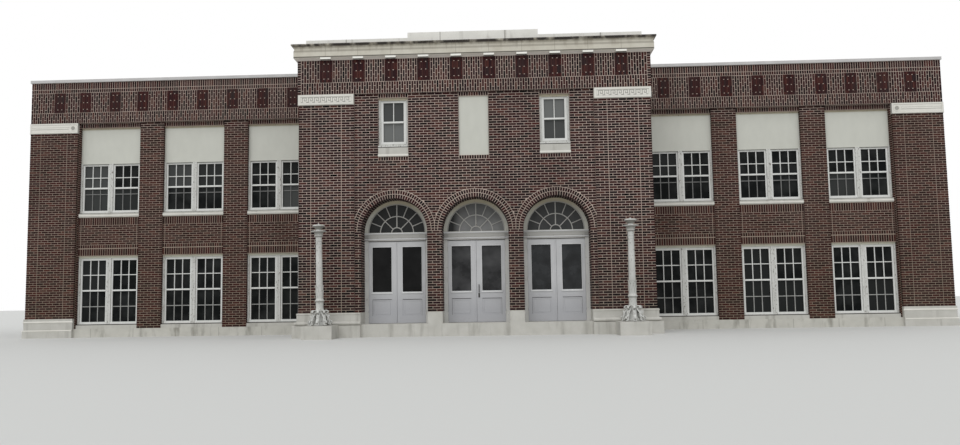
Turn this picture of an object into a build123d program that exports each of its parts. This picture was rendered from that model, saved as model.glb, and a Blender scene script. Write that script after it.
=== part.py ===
from build123d import *
import os

# A two-storey brick school: a projecting entrance pavilion with three arched doorways between two wings.
# Millimetres. X runs along the front, Y into the building, Z up. The front looks along -Y.
# Each piece is exported with the origin at the middle of the whole plan, on the ground beside the wings.

# Heights of the main block, stacked from the ground beside the wings up
base_height = 264
low_sill_height = 109
low_window_height = 2127
spandrel_height = 1215
high_sill_height = 115
high_window_height = 1610
infill_height = 1100
lintel_height = 143
parapet_height = 1297
coping_height = 90
plinth_lower_height = 240
plinth_upper_height = 340
cap_height = 326

# Heights of the pavilion, stacked from the door level up
door_level = 350
door_height = 2290
transom_height = 240
spring_to_sill = 2075
small_sill_height = 303
small_window_height = 1357
small_lintel_height = 121
pavilion_frieze_height = 971
cornice_bed_height = 53
corona_height = 190
cyma_height = 155
cornice_lip_height = 35
blocking_height = 210
raised_extra = 150
impost_height = 300
pavilion_base_lower = 330
pavilion_base_upper = 340

# Floors and roof
slab = 200
floor_over_windows = 500
floor_over_arches = 105
roof_below_parapet = 630

# Plan
pavilion_depth = 2400
wall = 330
portal_wall = 580
pier_step = 80
bay_recess = 30
bays_wing = 3
bays_side = 4
bays_rear_middle = 3
bay_pitch = 2660
window_width = 1920
wing_gap = 363
pier_strip = 45
corner_pier = 1500

pilaster_step = 40
pilaster_width = 1540
jamb_pier = 177
pier_between = 400
door_opening = 1830
small_window_x = 2236
small_window_width = 826
frieze_out = 30
impost_out = 30

coping_out = 40
cap_out = 20
plinth_out = 55
plinth_top_out = 30
base_out = 30
pavilion_base_out = 140
pavilion_base_top_out = 40

cornice_out = 190
corona_out = 130
corona_drip = 10
cornice_bed_out = 60
cornice_bed_rise = 20
cyma_sag = 38
blocking_back = 150
blocking_thick = 220
raised_width = 3660

# Windows
sill_out = 25
frame_set_back = 70
frame_depth = 110
frame_width = 60
sash_width = 38
sash_depth = 40
mullion = 135
meeting_rail = 50
glass = 6
infill_thick = 40

# Doors
door_bearing = 40
door_frame_depth = 120
jamb_width = 113
stop_width = 12
transom_out = 20
leaf_thick = 45
leaf_clear = 5
leaf_bottom_clear = 8
leaf_stile_outer = 103
leaf_stile_inner = 155
leaf_bottom_rail = 202
leaf_panel_height = 460
leaf_lock_rail = 205
leaf_top_rail = 155
leaf_panel_sink = 12
fanlight_band = 130
fanlight_rail = 12
fanlight_depth = 70
fanlight_clear = 0.5

hinge_pin = 5
hinge_knuckle = 9
hinge_clear = 0.3
hinge_face_clear = 0.5
hinge_height = 120
hinge_plate = 3
hinge_plate_width = 32
hinge_from_bottom = 240
hinge_from_top = 165

lock_rise = 685
lock_width = 44
lock_height = 124
lock_thick = 12
pull_above_lock = 21
pull_height = 220
pull_radius = 9
pull_stand = 45
pull_from_edge = 60

# Lamp standards
lamp_from_edge = 742
lamp_out = 580
lamp_height = 2720
lamp_foot_radius = 200
lamp_bracket_radius = 370
lamp_bracket_thick = 70
lamp_bracket_height = 430
lamp_bracket_tip = 245
lamp_foot_margin = 30
lamp_drum_radius = 100
lamp_ring_radius = 122
lamp_shaft_radius = 88
lamp_neck_radius = 79
lamp_bell_radius = 128
lamp_disc_radius = 205
lamp_cup_radius = 158
lamp_cup_neck = 72

# Levels that follow
base_top = base_height
low_sill_top = base_top + low_sill_height
low_head = low_sill_top + low_window_height
high_sill_bottom = low_head + spandrel_height
high_sill_top = high_sill_bottom + high_sill_height
high_head = high_sill_top + high_window_height
infill_top = high_head + infill_height
frieze_bottom = infill_top + lintel_height
cap_bottom = frieze_bottom - cap_height
parapet_top = frieze_bottom + parapet_height
coping_top = parapet_top + coping_height
plinth_top = plinth_lower_height + plinth_upper_height

transom_bottom = door_level + door_height
spring = transom_bottom + transom_height
small_sill_bottom = spring + spring_to_sill
small_sill_top = small_sill_bottom + small_sill_height
small_head = small_sill_top + small_window_height
pavilion_frieze_bottom = small_head + small_lintel_height
impost_bottom = pavilion_frieze_bottom - impost_height
cornice_bottom = pavilion_frieze_bottom + pavilion_frieze_height
cornice_soffit = cornice_bottom + cornice_bed_height
cornice_fillet = cornice_soffit + corona_height
cornice_lip = cornice_fillet + cyma_height
cornice_top = cornice_lip + cornice_lip_height
blocking_top = cornice_top + blocking_height
raised_top = blocking_top + raised_extra
pavilion_base_top = pavilion_base_lower + pavilion_base_upper

half_door = door_opening / 2
upper_floor_top = low_head + floor_over_windows
hall_floor_top = spring + half_door + floor_over_arches + slab
roof_top = parapet_top - roof_below_parapet

# Plan that follows
door_pitch = door_opening + pier_between
door_edge = door_pitch + half_door
half_middle = door_edge + jamb_pier
half_pavilion = half_middle + pilaster_width
half_window = window_width / 2
first_bay = half_pavilion + wing_gap + half_window
pier_inner = first_bay + (bays_wing - 1) * bay_pitch + half_window + pier_strip
half_block = pier_inner + corner_pier
front_face = pavilion_depth
front_pier = front_face - pier_step
block_depth = 2 * (corner_pier + pier_strip) + (bays_side - 1) * bay_pitch + window_width
rear_pier = front_pier + block_depth
rear_face = rear_pier - pier_step
front_inner = front_face + wall
rear_inner = rear_face - wall
side_face = half_block - pier_step
side_inner = side_face - wall
side_start = front_pier + corner_pier
side_end = rear_pier - corner_pier
pavilion_inner = half_pavilion - wall
hall_front = pilaster_step + portal_wall
door_face = hall_front - door_bearing
frame_face = bay_recess + frame_set_back

lamp_x = half_pavilion - lamp_from_edge
lamp_plinth_half = lamp_bracket_radius + lamp_foot_margin
foremost = -lamp_out - lamp_plinth_half
middle = (rear_pier + plinth_out + foremost) / 2

wing_bays = [first_bay + i * bay_pitch for i in range(bays_wing)]
front_bays = [-x for x in reversed(wing_bays)] + wing_bays
middle_bays = [(i - (bays_rear_middle - 1) / 2) * bay_pitch for i in range(bays_rear_middle)]
rear_bays = sorted(front_bays + middle_bays)
first_side_bay = side_start + pier_strip + half_window
side_bays = [first_side_bay + i * bay_pitch for i in range(bays_side)]
doors = [-door_pitch, 0, door_pitch]


def block(x0, x1, y0, y1, z0, z1):
    """A box between two corners."""
    return Pos((x0 + x1) / 2, (y0 + y1) / 2, (z0 + z1) / 2) * Box(abs(x1 - x0), abs(y1 - y0), abs(z1 - z0))


def both_sides(shape):
    """A shape and its mirror image across the middle of the front."""
    return [shape, mirror(shape, about=Plane.YZ)]


# A bay is modelled once, facing -Y with its middle on x = 0 and its wall face on y = 0, then placed on a wall.
def on_front(x):
    return Pos(x, front_face, 0)


def on_rear(x):
    return Pos(x, rear_face, 0) * Rot(0, 0, 180)


def on_left(y):
    return Pos(-side_face, y, 0) * Rot(0, 0, -90)


def on_right(y):
    return Pos(side_face, y, 0) * Rot(0, 0, 90)


front_places = [on_front(x) for x in front_bays]
rear_places = [on_rear(x) for x in rear_bays]
left_places = [on_left(y) for y in side_bays]
right_places = [on_right(y) for y in side_bays]
bay_places = front_places + rear_places + left_places + right_places


def strips(start, end, middles):
    """The stretches of a wall between its bays."""
    edges = [start] + [m + s * half_window for m in middles for s in (-1, 1)] + [end]
    return zip(edges[0::2], edges[1::2])


def wall_piers():
    """The brick piers between the bays of each wall, from the base course to the frieze."""
    shapes = []
    for x0, x1 in strips(half_pavilion, pier_inner, wing_bays):
        shapes += both_sides(block(x0, x1, front_face, front_inner, base_top, frieze_bottom))
    for x0, x1 in strips(-pier_inner, pier_inner, rear_bays):
        shapes.append(block(x0, x1, rear_inner, rear_face, base_top, frieze_bottom))
    for y0, y1 in strips(side_start, side_end, side_bays):
        shapes += both_sides(block(side_inner, side_face, y0, y1, base_top, frieze_bottom))
    return shapes


def in_each_bay(shape):
    return [place * shape for place in bay_places]


def spandrels():
    """The recessed brickwork between the low and the high window of each bay."""
    return in_each_bay(block(-half_window, half_window, bay_recess, wall, low_head, high_sill_bottom))


def lintels():
    """The recessed brickwork between each bay's infill panel and the frieze."""
    return in_each_bay(block(-half_window, half_window, bay_recess, wall, infill_top, frieze_bottom))


def corner(sx, rear, out, z0, z1):
    """One L-shaped corner of the main block, standing out from the pier faces by out."""
    x_out = sx * (half_block + out)
    y_out = rear_pier + out if rear else front_pier - out
    y_in = rear_inner if rear else front_inner
    y_end = side_end if rear else side_start
    along_x = block(x_out, sx * pier_inner, y_out, y_in, z0, z1)
    along_y = block(x_out, sx * side_inner, y_out, y_end, z0, z1)
    return along_x + along_y


def corners(out, z0, z1):
    return [corner(sx, rear, out, z0, z1) for sx in (-1, 1) for rear in (False, True)]


def corner_plinths():
    """Moulded stone bases under the corner piers."""
    shapes = []
    lowers = corners(plinth_out, 0, plinth_lower_height)
    uppers = corners(plinth_top_out, plinth_lower_height, plinth_top)
    for lower, upper in zip(lowers, uppers):
        shapes.append(lower + upper)
    return shapes


def pier_caps():
    """Stone caps of the corner piers, and the wide impost stones of the pavilion's pilasters."""
    x0, x1 = half_middle, half_pavilion + impost_out
    impost = block(x0, x1, -impost_out, hall_front, impost_bottom, pavilion_frieze_bottom)
    return corners(cap_out, cap_bottom, frieze_bottom) + both_sides(impost)


def ring(out, inner, z0, z1):
    """The run round three sides and both front wings, from out beyond the pier faces to inner behind them."""
    outer = block(-half_block - out, half_block + out, front_pier - out, rear_pier + out, z0, z1)
    x_in, y0, y1 = half_block - inner, front_pier + inner, rear_pier - inner
    court = block(-x_in, x_in, y0, y1, z0, z1)
    gap = block(-half_pavilion, half_pavilion, front_pier - out, y1, z0, z1)
    return outer - court - gap


def parapet():
    """The brick frieze and parapet of the main block."""
    return ring(0, pier_step + wall, frieze_bottom, parapet_top)


def coping():
    """The thin coping on the parapet."""
    return ring(coping_out, pier_step + wall + coping_out, parapet_top, coping_top)


def base_course():
    """The stone base course under the walls of the main block."""
    out = front_face - base_out
    wing = block(half_pavilion, pier_inner, out, front_inner, 0, base_top)
    rear = block(-pier_inner, pier_inner, rear_inner, rear_face + base_out, 0, base_top)
    side = block(side_inner, side_face + base_out, side_start, side_end, 0, base_top)
    return both_sides(wing) + both_sides(side) + [rear]


def window_frame(width, z0, z1, double):
    """A timber window with its face at y = 0: box frame, stiles, meeting rail and, if double, a mullion."""
    half = width / 2
    edge = frame_width + sash_width
    frame = block(-half, half, 0, frame_depth, z0, z1)
    inside = half - frame_width
    z_low, z_high = z0 + frame_width, z1 - frame_width
    frame = frame - block(-inside, inside, 0, frame_depth, z_low, z_high)
    sash = block(-inside, inside, frame_width / 2, frame_width / 2 + sash_depth, z_low, z_high)
    z_mid = (z0 + z1) / 2
    middle_half = mullion / 2 + sash_width if double else 0
    lights = [(-half + edge, -middle_half), (middle_half, half - edge)] if double else [(-half + edge, half - edge)]
    for x0, x1 in lights:
        for low, high in ((z0 + edge, z_mid - meeting_rail / 2), (z_mid + meeting_rail / 2, z1 - edge)):
            sash = sash - block(x0, x1, 0, frame_depth, low, high)
    shape = frame + sash
    if double:
        shape = shape + block(-mullion / 2, mullion / 2, 0, frame_width / 2 + sash_depth, z_low, z_high)
    return shape


def window_glass(width, z0, z1):
    """The sheet behind a window's sashes."""
    half = width / 2 - frame_width
    face = frame_width / 2 + sash_depth
    return block(-half, half, face, face + glass, z0 + frame_width, z1 - frame_width)


in_bay = Pos(0, frame_face, 0)


def pavilion_window_places():
    return [Pos(x, pilaster_step + frame_set_back, 0) for x in (-small_window_x, small_window_x)]


def low_windows():
    shape = in_bay * window_frame(window_width, low_sill_top, low_head, True)
    pane = in_bay * window_glass(window_width, low_sill_top, low_head)
    return in_each_bay(shape), in_each_bay(pane)


def high_windows():
    shape = in_bay * window_frame(window_width, high_sill_top, high_head, True)
    pane = in_bay * window_glass(window_width, high_sill_top, high_head)
    small = window_frame(small_window_width, small_sill_top, small_head, False)
    small_pane = window_glass(small_window_width, small_sill_top, small_head)
    frames = in_each_bay(shape) + [p * small for p in pavilion_window_places()]
    panes = in_each_bay(pane) + [p * small_pane for p in pavilion_window_places()]
    return frames, panes


def infill_panels():
    """Flat boards: one over each upper window, and one that closes the pavilion's middle window."""
    board = block(-half_window, half_window, frame_face, frame_face + infill_thick, high_head, infill_top)
    middle_half = small_window_width / 2
    y = pilaster_step + frame_set_back / 2
    closed = block(-middle_half, middle_half, y, y + infill_thick, small_sill_bottom, small_head)
    return in_each_bay(board) + [closed]


def window_sills():
    """Stone sills of every window."""
    face = bay_recess - sill_out
    back = frame_face + frame_depth
    low = block(-half_window, half_window, face, back, base_top, low_sill_top)
    high = block(-half_window, half_window, face, back, high_sill_bottom, high_sill_top)
    small_half = small_window_width / 2
    y1 = pilaster_step + frame_set_back + frame_depth
    small = block(-small_half, small_half, pilaster_step - sill_out, y1, small_sill_bottom, small_sill_top)
    return in_each_bay(low) + in_each_bay(high) + [Pos(x, 0, 0) * small for x in (-small_window_x, small_window_x)]


def pavilion_piers():
    """The two pilasters with their door jambs, and the two piers between the doors."""
    z0 = pavilion_base_top
    pilaster = block(half_middle, half_pavilion, 0, hall_front, z0, impost_bottom)
    jamb = block(door_edge, half_middle, pilaster_step, hall_front, z0, spring)
    between = block(half_door, door_pitch - half_door, pilaster_step, hall_front, z0, spring)
    return both_sides(pilaster + jamb) + both_sides(between)


def pavilion_front_wall():
    """The wall over the doors: three round arches, two small windows and the closed one between them."""
    shape = block(-half_middle, half_middle, pilaster_step, hall_front, spring, pavilion_frieze_bottom)
    for x in doors:
        shape = shape - Pos(x, hall_front / 2, spring) * Rot(90, 0, 0) * Cylinder(half_door, 2 * hall_front)
    half = small_window_width / 2
    for x in (-small_window_x, 0, small_window_x):
        shape = shape - block(x - half, x + half, 0, hall_front + 1, small_sill_bottom, small_head)
    return shape


def pavilion_side_walls():
    """The pavilion's side walls, with the frieze band standing out near their tops."""
    plain = block(pavilion_inner, half_pavilion, hall_front, front_inner, pavilion_base_top, cornice_bottom)
    x1 = half_pavilion + frieze_out
    band = block(half_pavilion, x1, hall_front, front_pier, pavilion_frieze_bottom, cornice_bottom)
    return both_sides(plain + band)


def pavilion_frieze():
    """The brick frieze across the front of the pavilion."""
    x1 = half_pavilion + frieze_out
    return block(-x1, x1, -frieze_out, hall_front, pavilion_frieze_bottom, cornice_bottom)


def pavilion_base():
    """Moulded stone base: a corner block at each side and a block under each pier between the doors."""
    def corner_block(out, z0, z1):
        x1 = half_pavilion + out
        front = block(door_edge, x1, -out, hall_front, z0, z1)
        side = block(pavilion_inner, x1, hall_front, front_face - base_out, z0, z1)
        back = block(pavilion_inner, half_pavilion, front_face - base_out, front_inner, z0, z1)
        return front + side + back

    lower = corner_block(pavilion_base_out, 0, pavilion_base_lower)
    upper = corner_block(pavilion_base_top_out, pavilion_base_lower, pavilion_base_top)
    between = block(half_door, door_pitch - half_door, pilaster_step - sill_out, hall_front, 0, pavilion_base_top)
    return both_sides(lower + upper) + both_sides(between)


def door_sills():
    """The stone threshold of each doorway, from the ground to the door level."""
    y0 = pilaster_step - sill_out
    return [block(x - half_door, x + half_door, y0, hall_front, 0, door_level) for x in doors]


def cornice():
    """The moulded stone cornice, mitred round the pavilion's front corners, with its backing."""
    back = -wall
    profile = Plane.XZ * make_face([
        Polyline((back, cornice_bottom), (frieze_out, cornice_bottom),
                 (cornice_bed_out, cornice_bottom + cornice_bed_rise), (corona_out - corona_drip, cornice_soffit),
                 (corona_out, cornice_soffit), (corona_out, cornice_fillet)),
        SagittaArc((corona_out, cornice_fillet), (cornice_out, cornice_lip), cyma_sag),
        Polyline((cornice_out, cornice_lip), (cornice_out, cornice_top), (back, cornice_top), (back, cornice_bottom)),
    ])
    path = Polyline((half_pavilion, front_inner, 0), (half_pavilion, 0, 0),
                    (-half_pavilion, 0, 0), (-half_pavilion, front_inner, 0))
    start = Pos(half_pavilion, front_inner, 0) * profile
    run = sweep(start, path=path, transition=Transition.RIGHT)
    beyond = block(half_pavilion, half_pavilion + 2 * cornice_out, front_pier, front_inner, 0, cornice_top)
    front_back = block(-half_pavilion + wall, half_pavilion - wall, wall, hall_front, cornice_bottom, cornice_top)
    shape = run + front_back
    for cut in both_sides(beyond):
        shape = shape - cut
    return shape - coping()


def blocking_course():
    """The plain stone course on the cornice, raised in the middle of the front."""
    x1 = half_pavilion - blocking_back
    x0 = x1 - blocking_thick
    y1 = blocking_back + blocking_thick
    front = block(-x1, x1, blocking_back, y1, cornice_top, blocking_top)
    raised = block(-raised_width / 2, raised_width / 2, blocking_back, y1, cornice_top, raised_top)
    side = block(x0, x1, blocking_back, front_inner, cornice_top, blocking_top)
    shape = front + raised
    for s in both_sides(side):
        shape = shape + s
    return shape


def main_slab(z_top):
    """A slab inside the walls of the main block."""
    return block(-side_inner, side_inner, front_inner, rear_inner, z_top - slab, z_top)


def hall_slab(z_top):
    """A slab inside the walls of the pavilion."""
    return block(-pavilion_inner, pavilion_inner, hall_front, front_inner, z_top - slab, z_top)


# Door leaves swing out on three butt hinges each. The axis runs through the hinge pins.
leaf_inner = leaf_clear / 2
leaf_outer = half_door - jamb_width - leaf_clear
leaf_bottom = door_level + leaf_bottom_clear
leaf_top = transom_bottom - leaf_clear
axis_x = leaf_outer + leaf_clear / 2
axis_y = door_face - hinge_knuckle - hinge_face_clear
knuckle = hinge_height / 2
top_hinge = door_height - hinge_from_top - hinge_height
hinge_rises = (hinge_from_bottom, (hinge_from_bottom + top_hinge) / 2, top_hinge)
panel_bottom = leaf_bottom + leaf_bottom_rail
panel_top = panel_bottom + leaf_panel_height
light_bottom = panel_top + leaf_lock_rail
light_top = leaf_top - leaf_top_rail


def upright(radius, height, z):
    """A round bar on the hinge axis of a right-hand leaf, from z up."""
    return Pos(axis_x, axis_y, z + height / 2) * Cylinder(radius, height)


def right_leaf():
    """The right-hand leaf of a pair whose middle is on x = 0."""
    y0, y1 = door_face, door_face + leaf_thick
    shape = block(leaf_inner, leaf_outer, y0, y1, leaf_bottom, leaf_top)
    x0, x1 = leaf_stile_inner, leaf_outer - leaf_stile_outer
    shape = shape - block(x0, x1, y0, y1, light_bottom, light_top)
    for low, high in ((y0, y0 + leaf_panel_sink), (y1 - leaf_panel_sink, y1)):
        shape = shape - block(x0, x1, low, high, panel_bottom, panel_top)
    for rise in hinge_rises:
        z = door_level + rise + knuckle + hinge_clear
        height = knuckle - hinge_clear
        plate = block(leaf_outer - hinge_plate_width, axis_x, y0 - hinge_plate, y0, z, z + height)
        shape = shape + plate + upright(hinge_knuckle, height, z)
        shape = shape - upright(hinge_pin + hinge_clear, height, z)
    return shape


def right_leaf_glass():
    y = door_face + (leaf_thick - glass) / 2
    x0, x1 = leaf_stile_inner, leaf_outer - leaf_stile_outer
    return block(x0, x1, y, y + glass, light_bottom, light_top)


def door_frame():
    """Jambs with stops, transom bar and the fixed halves of the hinges, for a pair centred on x = 0."""
    y0, y1 = door_face, door_face + door_frame_depth
    inner = half_door - jamb_width
    jamb = block(inner, half_door, y0, y1, door_level, spring)
    y_stop = door_face + leaf_thick + leaf_clear
    jamb = jamb + block(inner - leaf_clear - stop_width, inner, y_stop, y1, door_level, transom_bottom)
    for rise in hinge_rises:
        z = door_level + rise
        jamb = jamb + block(axis_x, inner + hinge_plate_width, y0 - hinge_plate, y0, z, z + knuckle)
        jamb = jamb + upright(hinge_knuckle, knuckle, z) + upright(hinge_pin, hinge_height, z)
    shape = block(-inner, inner, y0 - transom_out, y1, transom_bottom, spring)
    for j in both_sides(jamb):
        shape = shape + j
    return shape


def half_disc(radius, depth):
    """The upper half of a round plate that stands on the springing line, its face at y = 0."""
    disc = Pos(0, depth / 2, spring) * Rot(90, 0, 0) * Cylinder(radius, depth)
    return disc & block(-radius, radius, 0, depth, spring, spring + radius)


def fanlights():
    """The arched frame over each pair of doors, and its glass."""
    outer = half_door - fanlight_clear
    inner = outer - fanlight_band
    hole = half_disc(inner, fanlight_depth)
    frame = half_disc(outer, fanlight_depth) - Pos(0, 0, fanlight_rail) * hole
    y_glass = (fanlight_depth - glass) / 2
    pane = Pos(0, y_glass, fanlight_rail) * half_disc(inner, glass)
    frames = [Pos(x, door_face, 0) * frame for x in doors]
    panes = [Pos(x, door_face, 0) * pane for x in doors]
    return frames, panes


def door_handle():
    """Pull bar and lock on the middle pair's right-hand leaf."""
    x = leaf_inner + pull_from_edge
    z_lock = door_level + lock_rise
    z0 = z_lock + lock_height + pull_above_lock
    z1 = z0 + pull_height
    y = door_face - pull_stand
    shape = Pos(x, y, (z0 + z1) / 2) * Cylinder(pull_radius, pull_height)
    for z in (z0 + 2 * pull_radius, z1 - 2 * pull_radius):
        shape = shape + Pos(x, door_face - pull_stand / 2, z) * Rot(90, 0, 0) * Cylinder(pull_radius, pull_stand)
    half = lock_width / 2
    back = block(x - half / 2, x + half / 2, door_face - lock_thick / 2, door_face, z0, z1)
    lock = block(x - half, x + half, door_face - lock_thick, door_face, z_lock, z_lock + lock_height)
    return [shape + back, lock]


def lamp_standard():
    """A cast lamp standard without its globe, turned about its own axis, with four scroll brackets at its foot."""
    rise = lamp_height
    foot, neck, cup = lamp_foot_radius, lamp_neck_radius, lamp_cup_radius
    points = [
        (0, 0), (foot, 0), (foot, 60), (lamp_drum_radius * 1.15, 150), (lamp_drum_radius, 300),
        (lamp_drum_radius, 640), (lamp_ring_radius, 650), (lamp_ring_radius, 685), (lamp_shaft_radius, 700),
        (neck, rise - 400), (neck * 1.15, rise - 350), (lamp_bell_radius, rise - 265), (lamp_bell_radius, rise - 225),
        (lamp_disc_radius, rise - 210), (lamp_disc_radius, rise - 175), (lamp_cup_neck, rise - 160),
        (lamp_cup_neck, rise - 130), (cup * 0.75, rise - 55), (cup, rise - 35), (cup, rise), (0, rise),
    ]
    profile = Plane.XZ * make_face(Polyline(*points, close=True))
    shape = revolve(profile, axis=Axis.Z)
    top, reach, tip = lamp_bracket_height, lamp_bracket_radius, lamp_bracket_tip
    outline = Plane.XZ * make_face(Polyline(
        (0, 0), (reach, 0), (reach, 90), (tip, 140), (tip * 0.75, 240), (tip, 350), (tip, top), (tip * 0.7, top), (0, 340),
        close=True))
    bracket = extrude(outline, amount=lamp_bracket_thick / 2, both=True)
    for turn in (0, 90, 180, 270):
        shape = shape + Rot(0, 0, turn) * bracket
    return Pos(lamp_x, -lamp_out, door_level) * shape


def lamp_plinth():
    """The stone block under a lamp standard, from the ground to the door level, against the pavilion's base."""
    half = lamp_plinth_half
    return block(lamp_x - half, lamp_x + half, foremost, -pavilion_base_out, 0, door_level)


def export(name, shape):
    """Writes one node, moved so that the middle of the plan is the origin. A list becomes separate solids."""
    centred = Pos(0, -middle, 0)
    placed = Compound(children=[centred * s for s in shape]) if isinstance(shape, list) else centred * shape
    export_step(placed, os.path.join("parts", name + ".step"))


def main():
    os.makedirs("parts", exist_ok=True)
    low_frames, low_panes = low_windows()
    high_frames, high_panes = high_windows()
    fan_frames, fan_panes = fanlights()
    nodes = {
        "wall_piers": wall_piers(),
        "spandrels": spandrels(),
        "lintels": lintels(),
        "ground_floor": main_slab(door_level),
        "hall_ground_floor": hall_slab(door_level),
        "upper_floors": [main_slab(upper_floor_top), hall_slab(hall_floor_top)],
        "roof_deck": main_slab(roof_top),
        "hall_roof_deck": hall_slab(roof_top),
        "corner_piers": corners(0, plinth_top, cap_bottom),
        "corner_plinths": corner_plinths(),
        "pier_caps": pier_caps(),
        "parapet": parapet(),
        "coping": coping(),
        "base_course": base_course(),
        "window_sills": window_sills(),
        "low_window_frames": low_frames,
        "low_window_glass": low_panes,
        "high_window_frames": high_frames,
        "high_window_glass": high_panes,
        "infill_panels": infill_panels(),
        "pavilion_piers": pavilion_piers(),
        "pavilion_front_wall": pavilion_front_wall(),
        "pavilion_side_walls": pavilion_side_walls(),
        "pavilion_frieze": pavilion_frieze(),
        "pavilion_base": pavilion_base(),
        "cornice": cornice(),
        "blocking_course": blocking_course(),
        "door_sills": door_sills(),
        "door_frames": [Pos(x, 0, 0) * door_frame() for x in doors],
        "fanlight_frames": fan_frames,
        "fanlight_glass": fan_panes,
        "door_handle": door_handle(),
        "lamp_standards": both_sides(lamp_standard()),
        "lamp_plinths": both_sides(lamp_plinth()),
    }
    leaves = both_sides(right_leaf())
    panes = both_sides(right_leaf_glass())
    for pair, x in zip(("left", "middle", "right"), doors):
        for side, leaf, pane in zip(("right", "left"), leaves, panes):
            nodes[f"{pair}_door_{side}_leaf"] = Pos(x, 0, 0) * leaf
            nodes[f"{pair}_door_{side}_glass"] = Pos(x, 0, 0) * pane
    for name, shape in nodes.items():
        export(name, shape)
    for pair, x in zip(("left", "middle", "right"), doors):
        print(pair, "hinge axes x", x - axis_x, x + axis_x, "y", axis_y - middle)


main()
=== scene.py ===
"""The looks of the brick school: its brickwork, stone, joinery, lamps, stage, light and camera."""

import math

import bmesh
import bpy
import numpy as np
from mathutils import Matrix, Vector


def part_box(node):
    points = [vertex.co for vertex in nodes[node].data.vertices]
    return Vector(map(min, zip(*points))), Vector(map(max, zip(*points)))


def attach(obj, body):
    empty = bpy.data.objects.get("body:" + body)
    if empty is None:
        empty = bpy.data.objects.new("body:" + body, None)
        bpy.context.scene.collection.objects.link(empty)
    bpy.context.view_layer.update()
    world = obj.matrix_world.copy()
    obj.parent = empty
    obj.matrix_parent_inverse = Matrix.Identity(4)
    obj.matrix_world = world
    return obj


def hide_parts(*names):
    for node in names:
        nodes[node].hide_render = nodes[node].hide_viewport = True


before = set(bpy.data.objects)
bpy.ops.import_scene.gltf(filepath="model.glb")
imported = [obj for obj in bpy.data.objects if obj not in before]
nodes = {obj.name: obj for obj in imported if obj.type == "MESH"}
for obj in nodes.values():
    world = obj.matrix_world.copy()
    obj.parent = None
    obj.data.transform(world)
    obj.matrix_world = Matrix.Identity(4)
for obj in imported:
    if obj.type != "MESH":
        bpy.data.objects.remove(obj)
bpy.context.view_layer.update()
scene = bpy.context.scene
chance = np.random.default_rng(7)

# Measures, in metres. What the frame shows is read from it.
brick_long = 0.2159
course = 0.06985
joint = 0.0137
brick_out = 0.006
arris = 0.0018

bay_pitch = 2.66
window_width = 1.92
wing_gap = 0.363
pier_strip = 0.045
wing_bays = 3
side_bays = 4
bay_recess = 0.03
frame_set_back = 0.07
sill_out = 0.025

door_pitch = 2.23
door_opening = 1.83
door_reveal = 0.54
pilaster_step = 0.04
small_window_x = 2.236
small_window_width = 0.826
parapet_thick = 0.41
block_pitch = 0.91

half_window = window_width / 2
half_door = door_opening / 2
doors = (-door_pitch, 0.0, door_pitch)

wall_low, wall_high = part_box("wall_piers")
pier_low, pier_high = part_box("corner_piers")
parapet_low, parapet_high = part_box("parapet")
pilaster_low, pilaster_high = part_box("pavilion_piers")
frieze_low, frieze_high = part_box("pavilion_frieze")
over_doors_low, over_doors_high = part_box("pavilion_front_wall")
spandrel_low, spandrel_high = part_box("spandrels")
lintel_low, lintel_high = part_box("lintels")
low_frame_low, low_frame_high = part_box("low_window_frames")
high_frame_low, high_frame_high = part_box("high_window_frames")
cornice_low, cornice_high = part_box("cornice")

pilaster_face = pilaster_low.y
wall_face = pilaster_face + pilaster_step
spring = over_doors_low.z
half_pavilion = pilaster_high.x
half_middle = over_doors_high.x
pier_step = wall_low.y - pier_low.y
leaf_face = wall_face + door_reveal
first_bay = half_pavilion + wing_gap + half_window
high_head = spandrel_high.z + 0.115 + 1.61
small_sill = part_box("window_sills")[1].z
last_edge = first_bay + (wing_bays - 1) * bay_pitch + half_window
corner_pier = pier_high.x - last_edge - pier_strip
pier_inner = pier_high.x - corner_pier
wing_middles = [first_bay + i * bay_pitch for i in range(wing_bays)]
first_side = pier_low.y + corner_pier + pier_strip + half_window
side_middles = [first_side + i * bay_pitch for i in range(side_bays)]


# Small tools
def alone(obj):
    """Selects one object and nothing else."""
    bpy.ops.object.select_all(action="DESELECT")
    obj.select_set(True)
    bpy.context.view_layer.objects.active = obj
    return obj


def apply(obj, kind, **settings):
    """Adds one modifier and applies it."""
    alone(obj)
    modifier = obj.modifiers.new(kind.title(), kind)
    for key, value in settings.items():
        setattr(modifier, key, value)
    bpy.ops.object.modifier_apply(modifier=modifier.name)
    return obj


def block(low, high, bevel=0.0, segments=1):
    """A block between two corners, its edges bevelled by hand."""
    low, high = Vector(low), Vector(high)
    bpy.ops.object.select_all(action="DESELECT")
    bpy.ops.mesh.primitive_cube_add(size=1, location=(low + high) / 2)
    obj = bpy.context.object
    obj.scale = high - low
    bpy.ops.object.transform_apply(location=True, rotation=True, scale=True)
    if bevel:
        bpy.ops.object.mode_set(mode="EDIT")
        bpy.ops.mesh.select_all(action="SELECT")
        bpy.ops.mesh.bevel(offset=bevel, segments=segments, affect="EDGES")
        bpy.ops.object.mode_set(mode="OBJECT")
    return obj


def pick_faces(obj, axis):
    """Selects the faces that look down an axis, and stays in edit mode."""
    bpy.ops.object.mode_set(mode="EDIT")
    bpy.ops.mesh.select_mode(type="FACE")
    bpy.ops.mesh.select_all(action="DESELECT")
    bpy.ops.object.mode_set(mode="OBJECT")
    for face in obj.data.polygons:
        face.select = face.normal[axis] < -0.5
    bpy.ops.object.mode_set(mode="EDIT")


def join(parts, name="part"):
    """Joins pieces into the first one."""
    bpy.ops.object.select_all(action="DESELECT")
    for part in parts:
        part.select_set(True)
    bpy.context.view_layer.objects.active = parts[0]
    bpy.ops.object.join()
    obj = bpy.context.object
    obj.name = name
    obj.data.name = name
    return obj


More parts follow.
